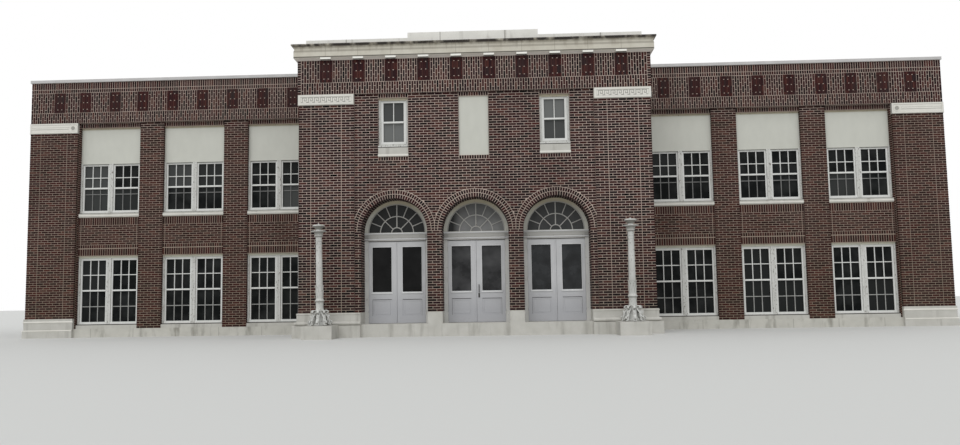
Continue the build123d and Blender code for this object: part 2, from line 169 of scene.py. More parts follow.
def copies(source, places, name="part"):
    """A copy of a piece, with its own mesh, at each place, all joined. The source goes."""
    parts = []
    for place in places:
        part = source.copy()
        part.data = source.data.copy()
        part.data.transform(place)
        if place.determinant() < 0:
            part.data.flip_normals()
        scene.collection.objects.link(part)
        parts.append(part)
    bpy.data.objects.remove(source)
    return join(parts, name)


def skin(rings):
    """A closed tube through rings of points."""
    mesh = bmesh.new()
    rings = [[mesh.verts.new(point) for point in ring] for ring in rings]
    size = len(rings[0])
    for near, far in zip(rings, rings[1:]):
        for k in range(size):
            mesh.faces.new((near[k], near[(k + 1) % size], far[(k + 1) % size], far[k]))
    mesh.faces.new(rings[0])
    mesh.faces.new(reversed(rings[-1]))
    bmesh.ops.recalc_face_normals(mesh, faces=mesh.faces)
    data = bpy.data.meshes.new("tube")
    mesh.to_mesh(data)
    mesh.free()
    obj = bpy.data.objects.new("tube", data)
    scene.collection.objects.link(obj)
    return obj


def swept(outline, path):
    """A moulding: an outline of (out, up) points carried along corners in plan, out to the right."""
    corners = [Vector(corner) for corner in path]
    ways = [(end - start).normalized() for start, end in zip(corners, corners[1:])]
    sides = [Vector((way.y, -way.x)) for way in ways]
    rings = []
    for corner, before, after in zip(corners, sides[:1] + sides, sides + sides[-1:]):
        mitre = (before + after) / (1 + before.dot(after))
        rings.append([(*(corner + mitre * out), up) for out, up in outline])
    return skin(rings)


def turned(profile, steps):
    """A piece turned on a lathe from a profile of (radius, height) points."""
    bpy.ops.object.select_all(action="DESELECT")
    bpy.ops.mesh.primitive_plane_add(size=1, location=(0, 0, 0))
    obj = bpy.context.object
    mesh = bmesh.new()
    points = [mesh.verts.new((radius, 0, height)) for radius, height in profile]
    for start, end in zip(points, points[1:]):
        mesh.edges.new((start, end))
    mesh.to_mesh(obj.data)
    mesh.free()
    bpy.ops.object.mode_set(mode="EDIT")
    bpy.ops.mesh.select_all(action="SELECT")
    bpy.ops.mesh.spin(steps=steps, angle=2 * math.pi, center=(0, 0, 0), axis=(0, 0, 1))
    bpy.ops.mesh.select_all(action="SELECT")
    bpy.ops.mesh.remove_doubles(threshold=0.0002)
    bpy.ops.mesh.normals_make_consistent(inside=False)
    bpy.ops.object.mode_set(mode="OBJECT")
    return obj


def wear(piece, finish, body="building"):
    """Gives a piece its finish and the body that it rides on."""
    piece.data.materials.clear()
    piece.data.materials.append(finish)
    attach(piece, body)
    return piece


# Finishes
def add_node(tree, kind, *values, **settings):
    """A new shader node, with its first inputs set or linked."""
    node = tree.nodes.new("ShaderNode" + kind)
    for key, value in settings.items():
        setattr(node, key, value)
    for socket, value in zip(node.inputs, values):
        feed(tree, socket, value)
    return node


def feed(tree, socket, value):
    """Links a socket, or sets it to a number or a plain colour."""
    if isinstance(value, bpy.types.NodeSocket):
        tree.links.new(value, socket)
    elif socket.type == "RGBA":
        socket.default_value = (*value, 1)
    else:
        socket.default_value = value


class Finish:
    """A material on the object's own coordinates. Its colour is built up in layers."""
    def __init__(self, name, roughness, specular=0.5):
        self.material = bpy.data.materials.new(name)
        self.material.use_nodes = True
        self.tree = self.material.node_tree
        self.bsdf = self.tree.nodes["Principled BSDF"]
        self.bsdf.inputs["Roughness"].default_value = roughness
        self.bsdf.inputs["Specular IOR Level"].default_value = specular
        coords = add_node(self.tree, "TexCoord").outputs
        self.place, self.normal = coords["Object"], coords["Normal"]
        self.x, self.y, self.z = add_node(self.tree, "SeparateXYZ", self.place).outputs

    def calc(self, operation, first, second=0.0):
        """One sum on two values."""
        return add_node(self.tree, "Math", first, second, operation=operation).outputs[0]

    def times(self, first, second):
        return self.calc("MULTIPLY", first, second)

    def plus(self, first, second):
        return self.calc("ADD", first, second)

    def over(self, first, second):
        return self.calc("GREATER_THAN", first, second)

    def most(self, first, second):
        return self.calc("MAXIMUM", first, second)

    def size(self, value):
        return self.calc("ABSOLUTE", value)

    def mask(self, value, start, end):
        """0 before start, 1 past end."""
        return add_node(self.tree, "MapRange", value, start, end).outputs[0]

    def noise(self, scale, detail=4.0, stretch=(1, 1, 1)):
        """Noise on the object's own coordinates, stretched along any axis."""
        none = (0, 0, 0)
        place = add_node(self.tree, "Mapping", self.place, none, none, stretch).outputs[0]
        return add_node(self.tree, "TexNoise", place, 0.0, scale, detail).outputs[0]

    def ramp(self, value, stops):
        """A colour ramp from (position, colour) stops."""
        node = add_node(self.tree, "ValToRGB", value)
        while len(node.color_ramp.elements) < len(stops):
            node.color_ramp.elements.new(0.5)
        for element, (position, colour) in zip(node.color_ramp.elements, stops):
            element.position = position
            element.color = (*colour, 1)
        return node.outputs[0]

    def lines(self, value, pitch, offset, width):
        """1 on thin lines at each pitch along a value, 0 between them."""
        turns = self.plus(self.calc("DIVIDE", value, pitch), 0.5 - offset / pitch)
        away = self.size(self.calc("SUBTRACT", self.calc("FRACT", turns), 0.5))
        return self.mask(away, width / pitch, 0.6 * width / pitch)

    def mix(self, factor, first, second):
        """Mixes two colours. Each is a socket or a plain colour."""
        node = add_node(self.tree, "Mix", data_type="RGBA")
        for slot, value in ((0, factor), (6, first), (7, second)):
            feed(self.tree, node.inputs[slot], value)
        return node.outputs[2]

    def layer(self, share, colour, strength=1.0):
        """Lays a colour over what is there, where share is 1."""
        if strength < 1.0:
            share = self.times(share, strength)
        self.colour = self.mix(share, self.colour, colour)

    def wing(self):
        """1 on the wings' walls, less on their parapets, 0 on the pavilion."""
        top = self.times(self.mask(self.z, 6.3, 6.7), 0.8)
        return self.times(self.mask(self.y, -6.3, -5.8), self.calc("SUBTRACT", 1.0, top))

    def done(self, height, strength, distance, roughness=None):
        """Links the colour, the relief and any roughness, and gives the material."""
        feed(self.tree, self.bsdf.inputs["Base Color"], self.colour)
        if roughness:
            feed(self.tree, self.bsdf.inputs["Roughness"], roughness)
        relief = add_node(self.tree, "Bump")
        for key, value in (("Strength", strength), ("Distance", distance), ("Height", height)):
            feed(self.tree, relief.inputs[key], value)
        feed(self.tree, self.bsdf.inputs["Normal"], relief.outputs[0])
        return self.material


def brick_finish():
    """Dark face brick: each brick has a tone of its own, with specks and a dull fired skin."""
    f = Finish("dark_face_brick", 0.88, 0.1)
    f.colour = f.ramp(add_node(f.tree, "Attribute", attribute_name="tone").outputs["Fac"], [
        (0.0, (0.004, 0.0025, 0.003)), (0.2, (0.013, 0.0045, 0.005)), (0.4, (0.036, 0.0085, 0.009)),
        (0.55, (0.018, 0.0065, 0.009)), (0.7, (0.055, 0.013, 0.012)), (0.82, (0.026, 0.016, 0.017)),
        (0.92, (0.072, 0.021, 0.017)), (1.0, (0.085, 0.040, 0.031))])
    f.layer(f.wing(), (0.075, 0.024, 0.014), 0.22)
    specks = f.noise(70, 6)
    f.layer(f.mask(specks, 0.52, 0.75), (0.012, 0.008, 0.008))
    f.layer(f.mask(f.noise(0.9, 5, (1, 1, 0.4)), 0.5, 0.8), (0.075, 0.058, 0.05), 0.2)
    return f.done(f.noise(260, 5), 0.35, 0.0015, f.mask(specks, -0.9, 1.3))


def mortar_finish():
    """Light struck joints, greyer and greener where damp stands near the ground."""
    f = Finish("light_mortar", 0.95, 0.2)
    grain = f.noise(140, 6)
    f.colour = f.mix(grain, (0.46, 0.37, 0.315), (0.70, 0.58, 0.505))
    f.layer(f.mask(f.noise(0.8, 5, (1, 1, 0.35)), 0.45, 0.75), (0.20, 0.165, 0.135), 0.5)
    f.layer(f.wing(), (0.20, 0.152, 0.105), 0.5)
    f.layer(f.mask(f.z, 4.2, 0.3), (0.22, 0.20, 0.125), 0.42)
    return f.done(grain, 0.5, 0.003)


def stone_finish(name, light, dark, stain, stain_from, stain_share, streak=(1, 1, 0.12), stone_long=0.0):
    """Weathered limestone: soft clouds, fine pits, dark runs from above and joints along the front."""
    f = Finish(name, 0.9, 0.3)
    f.colour = f.mix(f.noise(3.2, 6), dark, light)
    f.layer(f.mask(f.noise(5.5, 7, streak), stain_from, stain_from + 0.22), stain, stain_share)
    pits = f.noise(90, 6)
    f.layer(f.mask(pits, 0.6, 0.8), dark, 0.5)
    if stone_long:
        f.layer(f.lines(f.x, stone_long, 0.0, 0.008), stain, 0.6)
    return f.done(pits, 0.35, 0.003)


def cornice_finish():
    """Cream stone: a grey-pink bed mould, painted shadow lines at the foot and at the top of the corona,
    streaks down the hollow, and a broken black line along the top.
    """
    f = Finish("stained_cream_stone", 0.9, 0.3)
    foot, top, once = cornice_low.z, cornice_high.z, 9.0
    clouds, streaks = f.noise(2.6, 6), f.noise(9, 8, (1, 1, 0.12))
    f.colour = f.mix(clouds, (0.47, 0.43, 0.35), (0.70, 0.675, 0.59))
    hollow = f.times(f.mask(f.z, top - 0.135, top - 0.085), f.mask(streaks, 0.2, 0.62))
    runs = f.times(f.mask(f.z, top - 0.30, top - 0.12), f.mask(streaks, 0.52, 0.66))
    f.layer(f.most(hollow, f.times(runs, 0.5)), (0.17, 0.14, 0.10), 0.72)
    # A painted shadow line under the fillet at the top of the corona.
    f.layer(f.lines(f.z, once, top - 0.19, 0.036), (0.14, 0.12, 0.095), 0.42)
    lip = f.times(f.mask(f.z, top - 0.08, top - 0.05), f.mask(f.z, top + 0.03, top + 0.01))
    f.layer(f.times(lip, f.mask(f.noise(4.3, 8), 0.30, 0.50)), (0.045, 0.038, 0.034))
    f.layer(f.lines(f.x, block_pitch, block_pitch / 2, 0.008), (0.15, 0.125, 0.09), 0.4)
    # A painted shadow line at the foot of the corona, under its drip.
    f.layer(f.lines(f.z, once, foot + 0.076, 0.020), (0.04, 0.034, 0.028), 0.85)
    bed = f.mix(clouds, (0.56, 0.51, 0.465), (0.72, 0.665, 0.61))
    f.layer(f.mask(f.z, foot + 0.054, foot + 0.046), bed)
    pale = f.mix(clouds, (0.71, 0.695, 0.645), (0.92, 0.90, 0.84))
    soot = f.mask(f.noise(6, 7, (1, 1, 0.2)), 0.56, 0.74)
    pale = f.mix(f.times(soot, 0.5), pale, (0.30, 0.27, 0.24))
    cracks = f.lines(f.size(f.x), bay_pitch, block_pitch, 0.012)
    pale = f.mix(f.times(cracks, 0.7), pale, (0.14, 0.12, 0.10))
    f.layer(f.mask(f.z, top + 0.01, top + 0.03), pale)
    pits = f.noise(80, 6)
    f.layer(f.mask(pits, 0.58, 0.8), (0.24, 0.21, 0.17), 0.4)
    return f.done(pits, 0.35, 0.003)


def paint_finish(name, light, dark, bare, flaking, change=None, tint=None, underside_shade=None):
    """Old oil paint: brush grain, dull patches, bare ground where it flakes, another tint past a height, and
    painted shade on faces that look down.
    """
    f = Finish(name, 0.6, 0.3)
    clouds = f.noise(4.5, 5, (1, 1, 0.5))
    f.colour = f.mix(clouds, dark, light)
    if tint:
        f.layer(f.mask(f.z, *change), tint)
    # Painted shade: faces that look down take a darker colour.
    if underside_shade:
        up = add_node(f.tree, "SeparateXYZ", f.normal).outputs[2]
        f.layer(f.mask(up, -0.15, -0.6), underside_shade, 0.75)
    f.layer(f.mask(f.noise(42, 8, (1, 1, 0.35)), flaking, flaking + 0.06), bare)
    return f.done(f.noise(120, 5, (1, 1, 0.15)), 0.25, 0.0012, f.mask(clouds, -0.6, 1.6))


def glass_finish(name, deep, dust, dusty, gloss, cloud=2.3, film_of=None):
    """Old panes over a dark room: a dull sheen, and dust that dries in clouds."""
    f = Finish(name, 0.08, gloss)
    f.bsdf.inputs["IOR"].default_value = 1.5
    film = f.times(f.mask(f.noise(cloud, 5), 0.40, 0.76), dusty)
    if film_of:
        film = f.most(film, film_of(f))
    f.colour = f.mix(film, deep, dust)
    return f.done(f.noise(1.6, 2), 0.25, 0.004, f.mask(film, -0.12, 1.0))


def fanlight_film(f):
    """Thick dust on most of the middle fanlight, some on the right one, a little on the left one."""
    clouds = f.mask(f.noise(2.6, 5), -0.6, 1.1)
    lower = f.plus(f.times(f.mask(f.z, spring + 0.8, spring + 0.2), 0.45), 0.55)
    middle = f.times(f.mask(f.x, -0.68, -0.45), f.mask(f.x, 1.15, 1.05))
    right = f.times(f.mask(f.x, 1.15, 1.25), 0.27)
    return f.times(f.most(f.most(f.times(middle, lower), right), 0.13), clouds)


def sash_chance(f):
    """A chance value that is the same all over one sash: by bay half, side and storey."""
    away = f.size(f.x)
    wing = f.over(away, half_pavilion)
    across = f.calc("SUBTRACT", away, f.times(wing, first_bay))
    cell = f.plus(f.calc("FLOOR", f.calc("DIVIDE", across, bay_pitch / 2)), f.times(wing, 30.0))
    level = f.over(f.z, (low_frame_low.z + low_frame_high.z) / 2)
    for height in (3.1, (high_frame_low.z + high_head) / 2, (small_sill + high_frame_high.z) / 2):
        level = f.plus(level, f.over(f.z, height))
    cell = add_node(f.tree, "CombineXYZ", cell, f.over(f.x, 0.0), level).outputs[0]
    return add_node(f.tree, "TexWhiteNoise", cell).outputs["Value"]


def sash_film(f):
    """Some sashes, chosen at random and mostly upstairs, are paler. Over the doors the lower left and the
    upper right ones are pale.
    """
    upstairs = f.plus(f.times(f.mask(f.z, 2.8, 3.2), 0.3), 0.1)
    film = f.times(f.mask(sash_chance(f), 0.55, 1.0), upstairs)
    upper = f.over(f.z, (small_sill + high_frame_high.z) / 2)
    odd = f.size(f.calc("SUBTRACT", f.calc("LESS_THAN", f.x, 0.0), upper))
    over_doors = f.times(f.calc("LESS_THAN", f.size(f.x), half_middle), f.calc("LESS_THAN", f.y, -6.0))
    return f.most(film, f.times(over_doors, f.plus(f.times(odd, 0.5), 0.36)))


def plain_finish(name, light, dark, scale, roughness, depth):
    """A mottled surface with a little relief: roofing, sheet metal, concrete or iron."""
    f = Finish(name, roughness)
    grain = f.noise(scale, 6)
    f.colour = f.mix(grain, dark, light)
    return f.done(grain, 0.4, depth)


brick = brick_finish()
mortar = mortar_finish()
limestone = stone_finish("weathered_limestone", (0.63, 0.615, 0.575), (0.43, 0.42, 0.375),
                         (0.18, 0.165, 0.14), 0.54, 0.5)
ground_stone = stone_finish("damp_base_stone", (0.64, 0.625, 0.57), (0.44, 0.43, 0.385),
                            (0.16, 0.15, 0.12), 0.52, 0.6, (1, 1, 0.3), 1.33)
clean_stone = stone_finish("pale_block_stone", (0.82, 0.80, 0.74), (0.66, 0.64, 0.585),
                           (0.35, 0.32, 0.28), 0.64, 0.45)
cream_stone = cornice_finish()
window_paint = paint_finish("weathered_window_paint", (0.70, 0.70, 0.67), (0.48, 0.48, 0.45),
                            (0.15, 0.13, 0.11), 0.60)
# Bright stone for the frieze blocks, with painted shade on their undersides.
bright_stone = paint_finish("bright_block_stone", (0.94, 0.93, 0.87), (0.82, 0.80, 0.74),
                            (0.45, 0.42, 0.37), 0.72, underside_shade=(0.04, 0.02, 0.018))
sash_paint = paint_finish("white_sash_paint", (0.78, 0.78, 0.76), (0.64, 0.64, 0.61),
                          (0.33, 0.30, 0.26), 0.70)
screened_paint = paint_finish("screened_bar_paint", (0.30, 0.30, 0.29), (0.085, 0.085, 0.083),
                              (0.05, 0.05, 0.045), 0.72)
head_paint = paint_finish("tan_head_paint", (0.50, 0.455, 0.345), (0.34, 0.305, 0.22),
                          (0.12, 0.10, 0.07), 0.64, (3.2, 3.0), (0.60, 0.59, 0.49))
low_bar_paint = paint_finish("dull_bar_paint", (0.46, 0.46, 0.44), (0.20, 0.20, 0.19),
                             (0.05, 0.05, 0.045), 0.72)
board_paint = paint_finish("cream_board_paint", (0.61, 0.61, 0.55), (0.53, 0.53, 0.475),
                           (0.40, 0.38, 0.32), 0.76)
door_paint = paint_finish("grey_white_door_paint", (0.61, 0.61, 0.615), (0.48, 0.48, 0.485),
                          (0.26, 0.25, 0.23), 0.70, (1.5, 0.7), (0.435, 0.437, 0.455))
# White bead paint, kept brighter than the leaves' paint so that it also paints the highlight lines along the
# beads.
bead_and_highlight_paint = paint_finish("white_bead_paint_and_highlight", (0.78, 0.78, 0.78), (0.62, 0.62, 0.62),
                          (0.30, 0.28, 0.25), 0.72)
# Worn frame paint that takes a darker tint from 2.6 m to 2.7 m up: painted shade under the arches.
frame_paint = paint_finish("worn_and_shaded_door_frame_paint", (0.68, 0.675, 0.655), (0.52, 0.51, 0.48),
                           (0.24, 0.22, 0.18), 0.66, (2.6, 2.7), (0.43, 0.42, 0.395))
arch_paint = paint_finish("stained_arch_paint", (0.74, 0.73, 0.66), (0.58, 0.565, 0.49), (0.25, 0.22, 0.16),
                          0.66, (spring + 0.45, spring + 0.8), (0.56, 0.50, 0.365))
# White iron paint, with painted shade on the lamps' undersides.
lamp_paint = paint_finish("white_iron_paint", (0.74, 0.74, 0.71), (0.40, 0.40, 0.375),
                          (0.14, 0.12, 0.09), 0.62, underside_shade=(0.13, 0.12, 0.10))
window_glass = glass_finish("dark_window_glass", (0.006, 0.007, 0.007), (0.19, 0.195, 0.19), 0.12, 0.045,
                            film_of=sash_film)
fanlight_panes = glass_finish("dusty_fanlight_glass", (0.008, 0.009, 0.009), (0.34, 0.34, 0.335), 0.05, 0.06,
                              film_of=fanlight_film)
left_panes = glass_finish("black_door_glass", (0.005, 0.005, 0.005), (0.05, 0.05, 0.05), 0.2, 0.1)
middle_panes = glass_finish("cloudy_door_glass", (0.014, 0.014, 0.015), (0.11, 0.11, 0.112), 0.75, 0.15, 1.7)
right_panes = glass_finish("sheeny_door_glass", (0.008, 0.009, 0.010), (0.09, 0.095, 0.10), 0.4, 0.25)
coping_metal = plain_finish("grey_coping_metal", (0.60, 0.585, 0.58), (0.42, 0.41, 0.40), 3.0, 0.6, 0.001)
roof_gravel = plain_finish("grey_roof_gravel", (0.34, 0.33, 0.31), (0.10, 0.10, 0.095), 38.0, 0.95, 0.02)
concrete = plain_finish("plain_concrete", (0.40, 0.38, 0.35), (0.28, 0.27, 0.25), 5.0, 0.9, 0.002)
dark_iron = plain_finish("blackened_iron", (0.035, 0.032, 0.03), (0.015, 0.014, 0.013), 60.0, 0.45, 0.001)
carved_shade = plain_finish("carved_shade", (0.44, 0.43, 0.39), (0.27, 0.26, 0.235), 24.0, 0.95, 0.001)
# Near-black strips that paint shadow lines in gaps and under ledges.
gap_shadow_paint = plain_finish("painted_gap_shadow", (0.06, 0.055, 0.05), (0.02, 0.018, 0.016), 30.0, 0.95, 0.001)

node_finishes = {
    mortar: ["wall_piers", "spandrels", "lintels", "corner_piers", "parapet", "pavilion_piers",
             "pavilion_front_wall", "pavilion_side_walls", "pavilion_frieze"],
    limestone: ["corner_plinths", "pier_caps", "window_sills", "pavilion_base", "door_sills", "lamp_plinths"],
    ground_stone: ["base_course"],
    cream_stone: ["cornice", "blocking_course"],
    coping_metal: ["coping"],
    concrete: ["ground_floor", "hall_ground_floor", "upper_floors"],
    roof_gravel: ["roof_deck", "hall_roof_deck"],
    window_paint: ["low_window_frames", "high_window_frames"],
    window_glass: ["low_window_glass", "high_window_glass"],
    fanlight_panes: ["fanlight_glass"],
    board_paint: ["infill_panels"],
    frame_paint: ["door_frames"],
    arch_paint: ["fanlight_frames"],
    lamp_paint: ["lamp_standards"],
    dark_iron: ["door_handle"],
    door_paint: [],
}
for pair, panes in (("left", left_panes), ("middle", middle_panes), ("right", right_panes)):
    leaves = [f"{pair}_door_{side}" for side in ("left", "right")]
    node_finishes[door_paint] += [f"{leaf}_leaf" for leaf in leaves]
    node_finishes[panes] = [f"{leaf}_glass" for leaf in leaves]
for finish, names in node_finishes.items():
    for name in names:
        nodes[name].data.materials.clear()
        nodes[name].data.materials.append(finish)


# Brickwork. A face is seen from outside: u runs to the right, v is the height, d stands out.
class Face:
    def __init__(self, origin, out, right=None, up=(0, 0, 1)):
        self.origin, self.out, self.up = (np.array(value, float) for value in (origin, out, up))
        self.right = np.array(right or (-out[1], out[0], 0), float)

    def points(self, u, v, d):
        return self.origin + (u[..., None] * self.right + v[..., None] * self.up + d[..., None] * self.out)

    def at(self, u, v=0.0, d=0.0):
        """One point on the face."""
        return self.origin + u * self.right + v * self.up + d * self.out

    def matrix(self, u, depth):
        """Where a piece that faces -Y, with its middle on x = 0, goes on this face."""
        turn = Matrix((tuple(self.right), tuple(-self.out), (0, 0, 1))).transposed()
        return Matrix.Translation(self.at(u, 0.0, -depth)) @ turn.to_4x4()

    def turned(self, u, way):
        """The face round a corner at u, which looks along way."""
        return Face(self.at(u), tuple(way * self.right))

    def under(self, v, d):
        """The underside at height v of what stands out by d, with its front edge on v = 0."""
        return Face(self.at(0.0, v, d), (0, 0, -1), tuple(self.right), tuple(self.out))


class Soffit:
    """The underside of a round arch: u runs out from the door, v round the arch, d towards its middle."""
    def __init__(self, x, inner, radius):
        self.x, self.inner, self.radius = x, inner, radius

    def points(self, u, v, d):
        turn, reach = v / self.radius, self.radius - d
        return np.stack((self.x + reach * np.cos(turn), self.inner - u, spring + reach * np.sin(turn)), -1)


def model_brick():
    """One brick's face, a unit block with no back. Each laid brick is a copy of it, drawn to its corners."""
    obj = block((0, 0, 0), (1, 1, 1))
    pick_faces(obj, 2)
    bpy.ops.mesh.delete(type="FACE")
    bpy.ops.object.mode_set(mode="OBJECT")
    corners = np.array([tuple(v.co) for v in obj.data.vertices]).round().astype(int)
    faces = np.array([tuple(f.vertices) for f in obj.data.polygons])
    bpy.data.objects.remove(obj)
    return corners, faces


brick_corners, brick_faces = model_brick()
corner_of = {(0, 0): 0, (1, 0): 1, (1, 1): 2, (0, 1): 3}
brick_slots = np.array([corner_of[(x, y)] for x, y, z in brick_corners])
brick_front = brick_corners[:, 2].astype(float)
smallest_cut = 0.0009
shortest_cut = 0.05
corner_over = joint / 2 + brick_out
shallow = 0.004


def drawn_in(quads, by):
    """Moves each corner of each outline inwards from both its edges."""
    step = 0
    for edge in (np.roll(quads, -1, axis=1) - quads, np.roll(quads, 1, axis=1) - quads):
        step = step + edge / np.maximum(np.linalg.norm(edge, axis=2, keepdims=True), 1e-6)
    return quads + by * step


def cut_off(outline, way, limit):
    """What a convex outline keeps up to a limit along a direction."""
    kept = []
    for i, point in enumerate(outline):
        before = outline[i - 1]
        room_before, room = limit - np.dot(before, way), limit - np.dot(point, way)
        if (room_before < 0) != (room < 0):
            kept.append(before + (point - before) * room_before / (room_before - room))
        if room >= 0:
            kept.append(point)
    return kept


def shrunk(outline, by):
    """A convex outline with all its edges moved inwards."""
    inner = outline
    for i, point in enumerate(outline):
        edge = point - outline[i - 1]
        length = np.linalg.norm(edge)
        if length > 0.0001:
            way = np.array((edge[1], -edge[0])) / length
            inner = cut_off(inner, way, np.dot(point, way) - by)
    return inner


def area_of(outline):
    return sum(a[0] * b[1] - a[1] * b[0] for a, b in zip(outline, outline[1:] + outline[:1])) / 2


class Brickwork:
    """Bricks laid on any faces, gathered into one piece."""
    def __init__(self, name):
        self.name = name
        self.points, self.tones = [], []
        self.cut_points, self.cut_faces, self.cut_tones = [], [], []

    def lay(self, face, quads, depth=0.0, tones=(0.0, 1.0), gap=joint, stand=brick_out, even=False):
        """Lays a brick in each outline on a face, stood out from the mortar, with a gap all round."""
        if not len(quads):
            return
        quads = drawn_in(np.array(quads, float), gap / 2)
        count = len(quads)
        fronts = drawn_in(quads, min(arris, stand))
        ripple = chance.uniform(-0.0008, 0.0008, (count, 1)) if not even else 0.0
        shape = np.where(brick_front[None, :, None] > 0.5, fronts[:, brick_slots], quads[:, brick_slots])
        out = np.broadcast_to(brick_front[None, :] * (stand + ripple) + depth, shape.shape[:2])
        self.points.append(face.points(shape[..., 0], shape[..., 1], out))
        self.tones.append(np.repeat(chance.uniform(*tones, count), len(brick_slots)))

    def lay_cut(self, face, outlines, tones=(0.0, 1.0), gap=joint):
        """Lays bricks that are cut to any convex outline."""
        for outline in outlines:
            outline = shrunk(outline, (gap + arris) / 2)
            if len(outline) < 3 or area_of(outline) < smallest_cut:
                continue
            corners = np.array(outline)
            count, start = len(corners), len(self.cut_points)
            for out in (0.0, brick_out):
                self.cut_points += face.points(corners[:, 0], corners[:, 1], np.full(count, out)).tolist()
            self.cut_faces.append([start + count + i for i in range(count)])
            for i in range(count):
                ahead = (i + 1) % count
                self.cut_faces.append([start + i, start + ahead, start + count + ahead, start + count + i])
            self.cut_tones += [chance.uniform(*tones)] * (2 * count)

    def build(self, finish):
        points = np.concatenate(self.points).reshape(-1, 3)
        starts = np.arange(len(points) // len(brick_slots))[:, None, None] * len(brick_slots)
        faces = (brick_faces[None] + starts).reshape(-1, 4).tolist()
        faces += [[len(points) + k for k in face] for face in self.cut_faces]
        data = bpy.data.meshes.new(self.name)
        data.from_pydata(points.tolist() + self.cut_points, [], faces)
        tone = data.attributes.new("tone", "FLOAT", "POINT")
        tones = np.concatenate(self.tones + [np.array(self.cut_tones)])
        tone.data.foreach_set("value", tones.astype(np.float32))
        piece = bpy.data.objects.new(self.name, data)
        scene.collection.objects.link(piece)
        wear(piece, finish)


def around(middle, half):
    """The span that reaches as far to both sides of a middle."""
    return middle - half, middle + half


def mirrored(side, low, high):
    """A span from low to high, or its mirror image where side is -1."""
    return (low, high) if side > 0 else (-high, -low)


def pairs(edges):
    """Spans between the edges that open and close them."""
    return list(zip(edges[0::2], edges[1::2]))


def box_of(u0, u1, v0, v1):
    return [(u0, v0), (u1, v0), (u1, v1), (u0, v1)]


def running(u0, u1, v0, v1, openings=()):
    """Courses in running bond, with half bricks at the ends and cut bricks beside the openings."""
    rows = max(1, round((v1 - v0) / course))
    halves = max(1, round((u1 - u0) / (brick_long / 2)))
    high, half = (v1 - v0) / rows, (u1 - u0) / halves
    quads = []
    for row in range(rows):
        low, top = v0 + row * high, v0 + (row + 1) * high
        edges = [u0, u1]
        for left, right, foot, head in openings:
            if foot < (low + top) / 2 < head:
                edges += [left, right]
        joints = [u0 + k * half for k in range(1 + row % 2, halves, 2)]
        for left, right in pairs(sorted(edges)):
            lines = [line for line in joints if left + shortest_cut < line < right - shortest_cut]
            lines = [left, *lines, right]
            quads += [box_of(a, b, low, top) for a, b in zip(lines, lines[1:])]
    return quads


def upright(u0, u1, v0, v1):
    """Bricks on end, in columns with staggered joints: running bond turned by a quarter."""
    return [[(y, x) for x, y in (a, d, c, b)] for a, b, c, d in running(v0, v1, u0, u1)]


def soldiers(u0, u1, v0, v1):
    """One row of bricks on end."""
    count = max(1, round((u1 - u0) / course))
    wide = (u1 - u0) / count
    return [box_of(u0 + i * wide, u0 + (i + 1) * wide, v0, v1) for i in range(count)]


def flank(work, face, u, way, back, ahead, v0, v1, tones=(0.0, 1.0)):
    """A narrow return at u that looks along way, from back to ahead of the face."""
    reach = mirrored(-way, back, ahead + corner_over)
    work.lay(face.turned(u, way), running(*reach, v0, v1), 0.0, tones, stand=shallow)


panel_marks = []
panel_half = 0.186
panel_columns, panel_rows, marked_columns = 6, 3, (2, 4)
panel_pitch = 0.9486
panel_foot = 0.33


def dark_panel(work, face, middle, v0, v1, depth):
    """A panel of close dark bricks on end, with a light joint left at each corner of its blocks."""
    work.lay(face, [box_of(*around(middle, panel_half), v0, v1)], depth, (0.02, 0.02), 0.004, 0.0015, True)
    wide, high = 2 * panel_half / panel_columns, (v1 - v0) / panel_rows
    marks = [v0 + (row + 0.5) * high for row in range(panel_rows)]
    edges = [v0, *marks, v1]
    for column in range(panel_columns):
        left = middle - panel_half + column * wide
        cells = [box_of(left, left + wide, a, b) for a, b in zip(edges, edges[1:])]
        work.lay(face, cells, depth, (0.57, 0.94), 0.006, 0.005)
        if column in marked_columns:
            for mark in marks:
                panel_marks.append((face, box_of(*around(left, 0.017), *around(mark, 0.011)), depth))


def panel_band(work, face, u0, u1, places, v0, v1, depth):
    """A band of bricks on end, with dark panels let in."""
    edges = [u0, *(edge for place in places for edge in around(place, panel_half)), u1]
    for a, b in pairs(edges):
        work.lay(face, upright(a, b, v0, v1), depth)
    for place in places:
        dark_panel(work, face, place, v0, v1, depth)


def bay_brickwork(work, face, middle):
    """The recessed brickwork of one bay: the bands between its windows, the row over its board."""
    u0, u1 = around(middle, half_window)
    foot = spandrel_low.z + 0.014
    field, field_top, header = foot + 0.342, foot + 0.342 + 0.605, 0.075
    bands = [soldiers(u0, u1, foot, foot + 0.218), soldiers(u0, u1, foot + 0.23, field)]
    for a, b in ((u0, u0 + header), (u0 + header, u1 - header), (u1 - header, u1)):
        bands.append(running(a, b, field, field_top))
    bands.append(soldiers(u0, u1, field_top, spandrel_high.z - 0.01))
    bands.append(soldiers(u0, u1, lintel_low.z, lintel_high.z))
    for band in bands:
        work.lay(face, band, -bay_recess)
    reveal = bay_recess + frame_set_back
    heights = ((low_frame_low.z, low_frame_high.z, reveal), (spandrel_low.z, spandrel_high.z, bay_recess),
               (high_frame_low.z, lintel_low.z, reveal), (lintel_low.z, lintel_high.z, bay_recess))
    for side in (-1, 1):
        for v0, v1, deep in heights:
            flank(work, face, middle + side * half_window, -side, -deep, 0.0, v0, v1)


def corner_pier_bricks(work, face, edge, way):
    """A corner pier with a straight joint near each edge, where it steps back to the wall."""
    strip = 0.33
    lines = [edge + way * u for u in (-corner_over, strip, corner_pier - strip, corner_pier + corner_over)]
    for pair in zip(lines, lines[1:]):
        work.lay(face, running(*sorted(pair), pier_low.z, pier_high.z), pier_step)
    flank(work, face, edge + way * corner_pier, way, 0.0, pier_step, pier_low.z, pier_high.z)


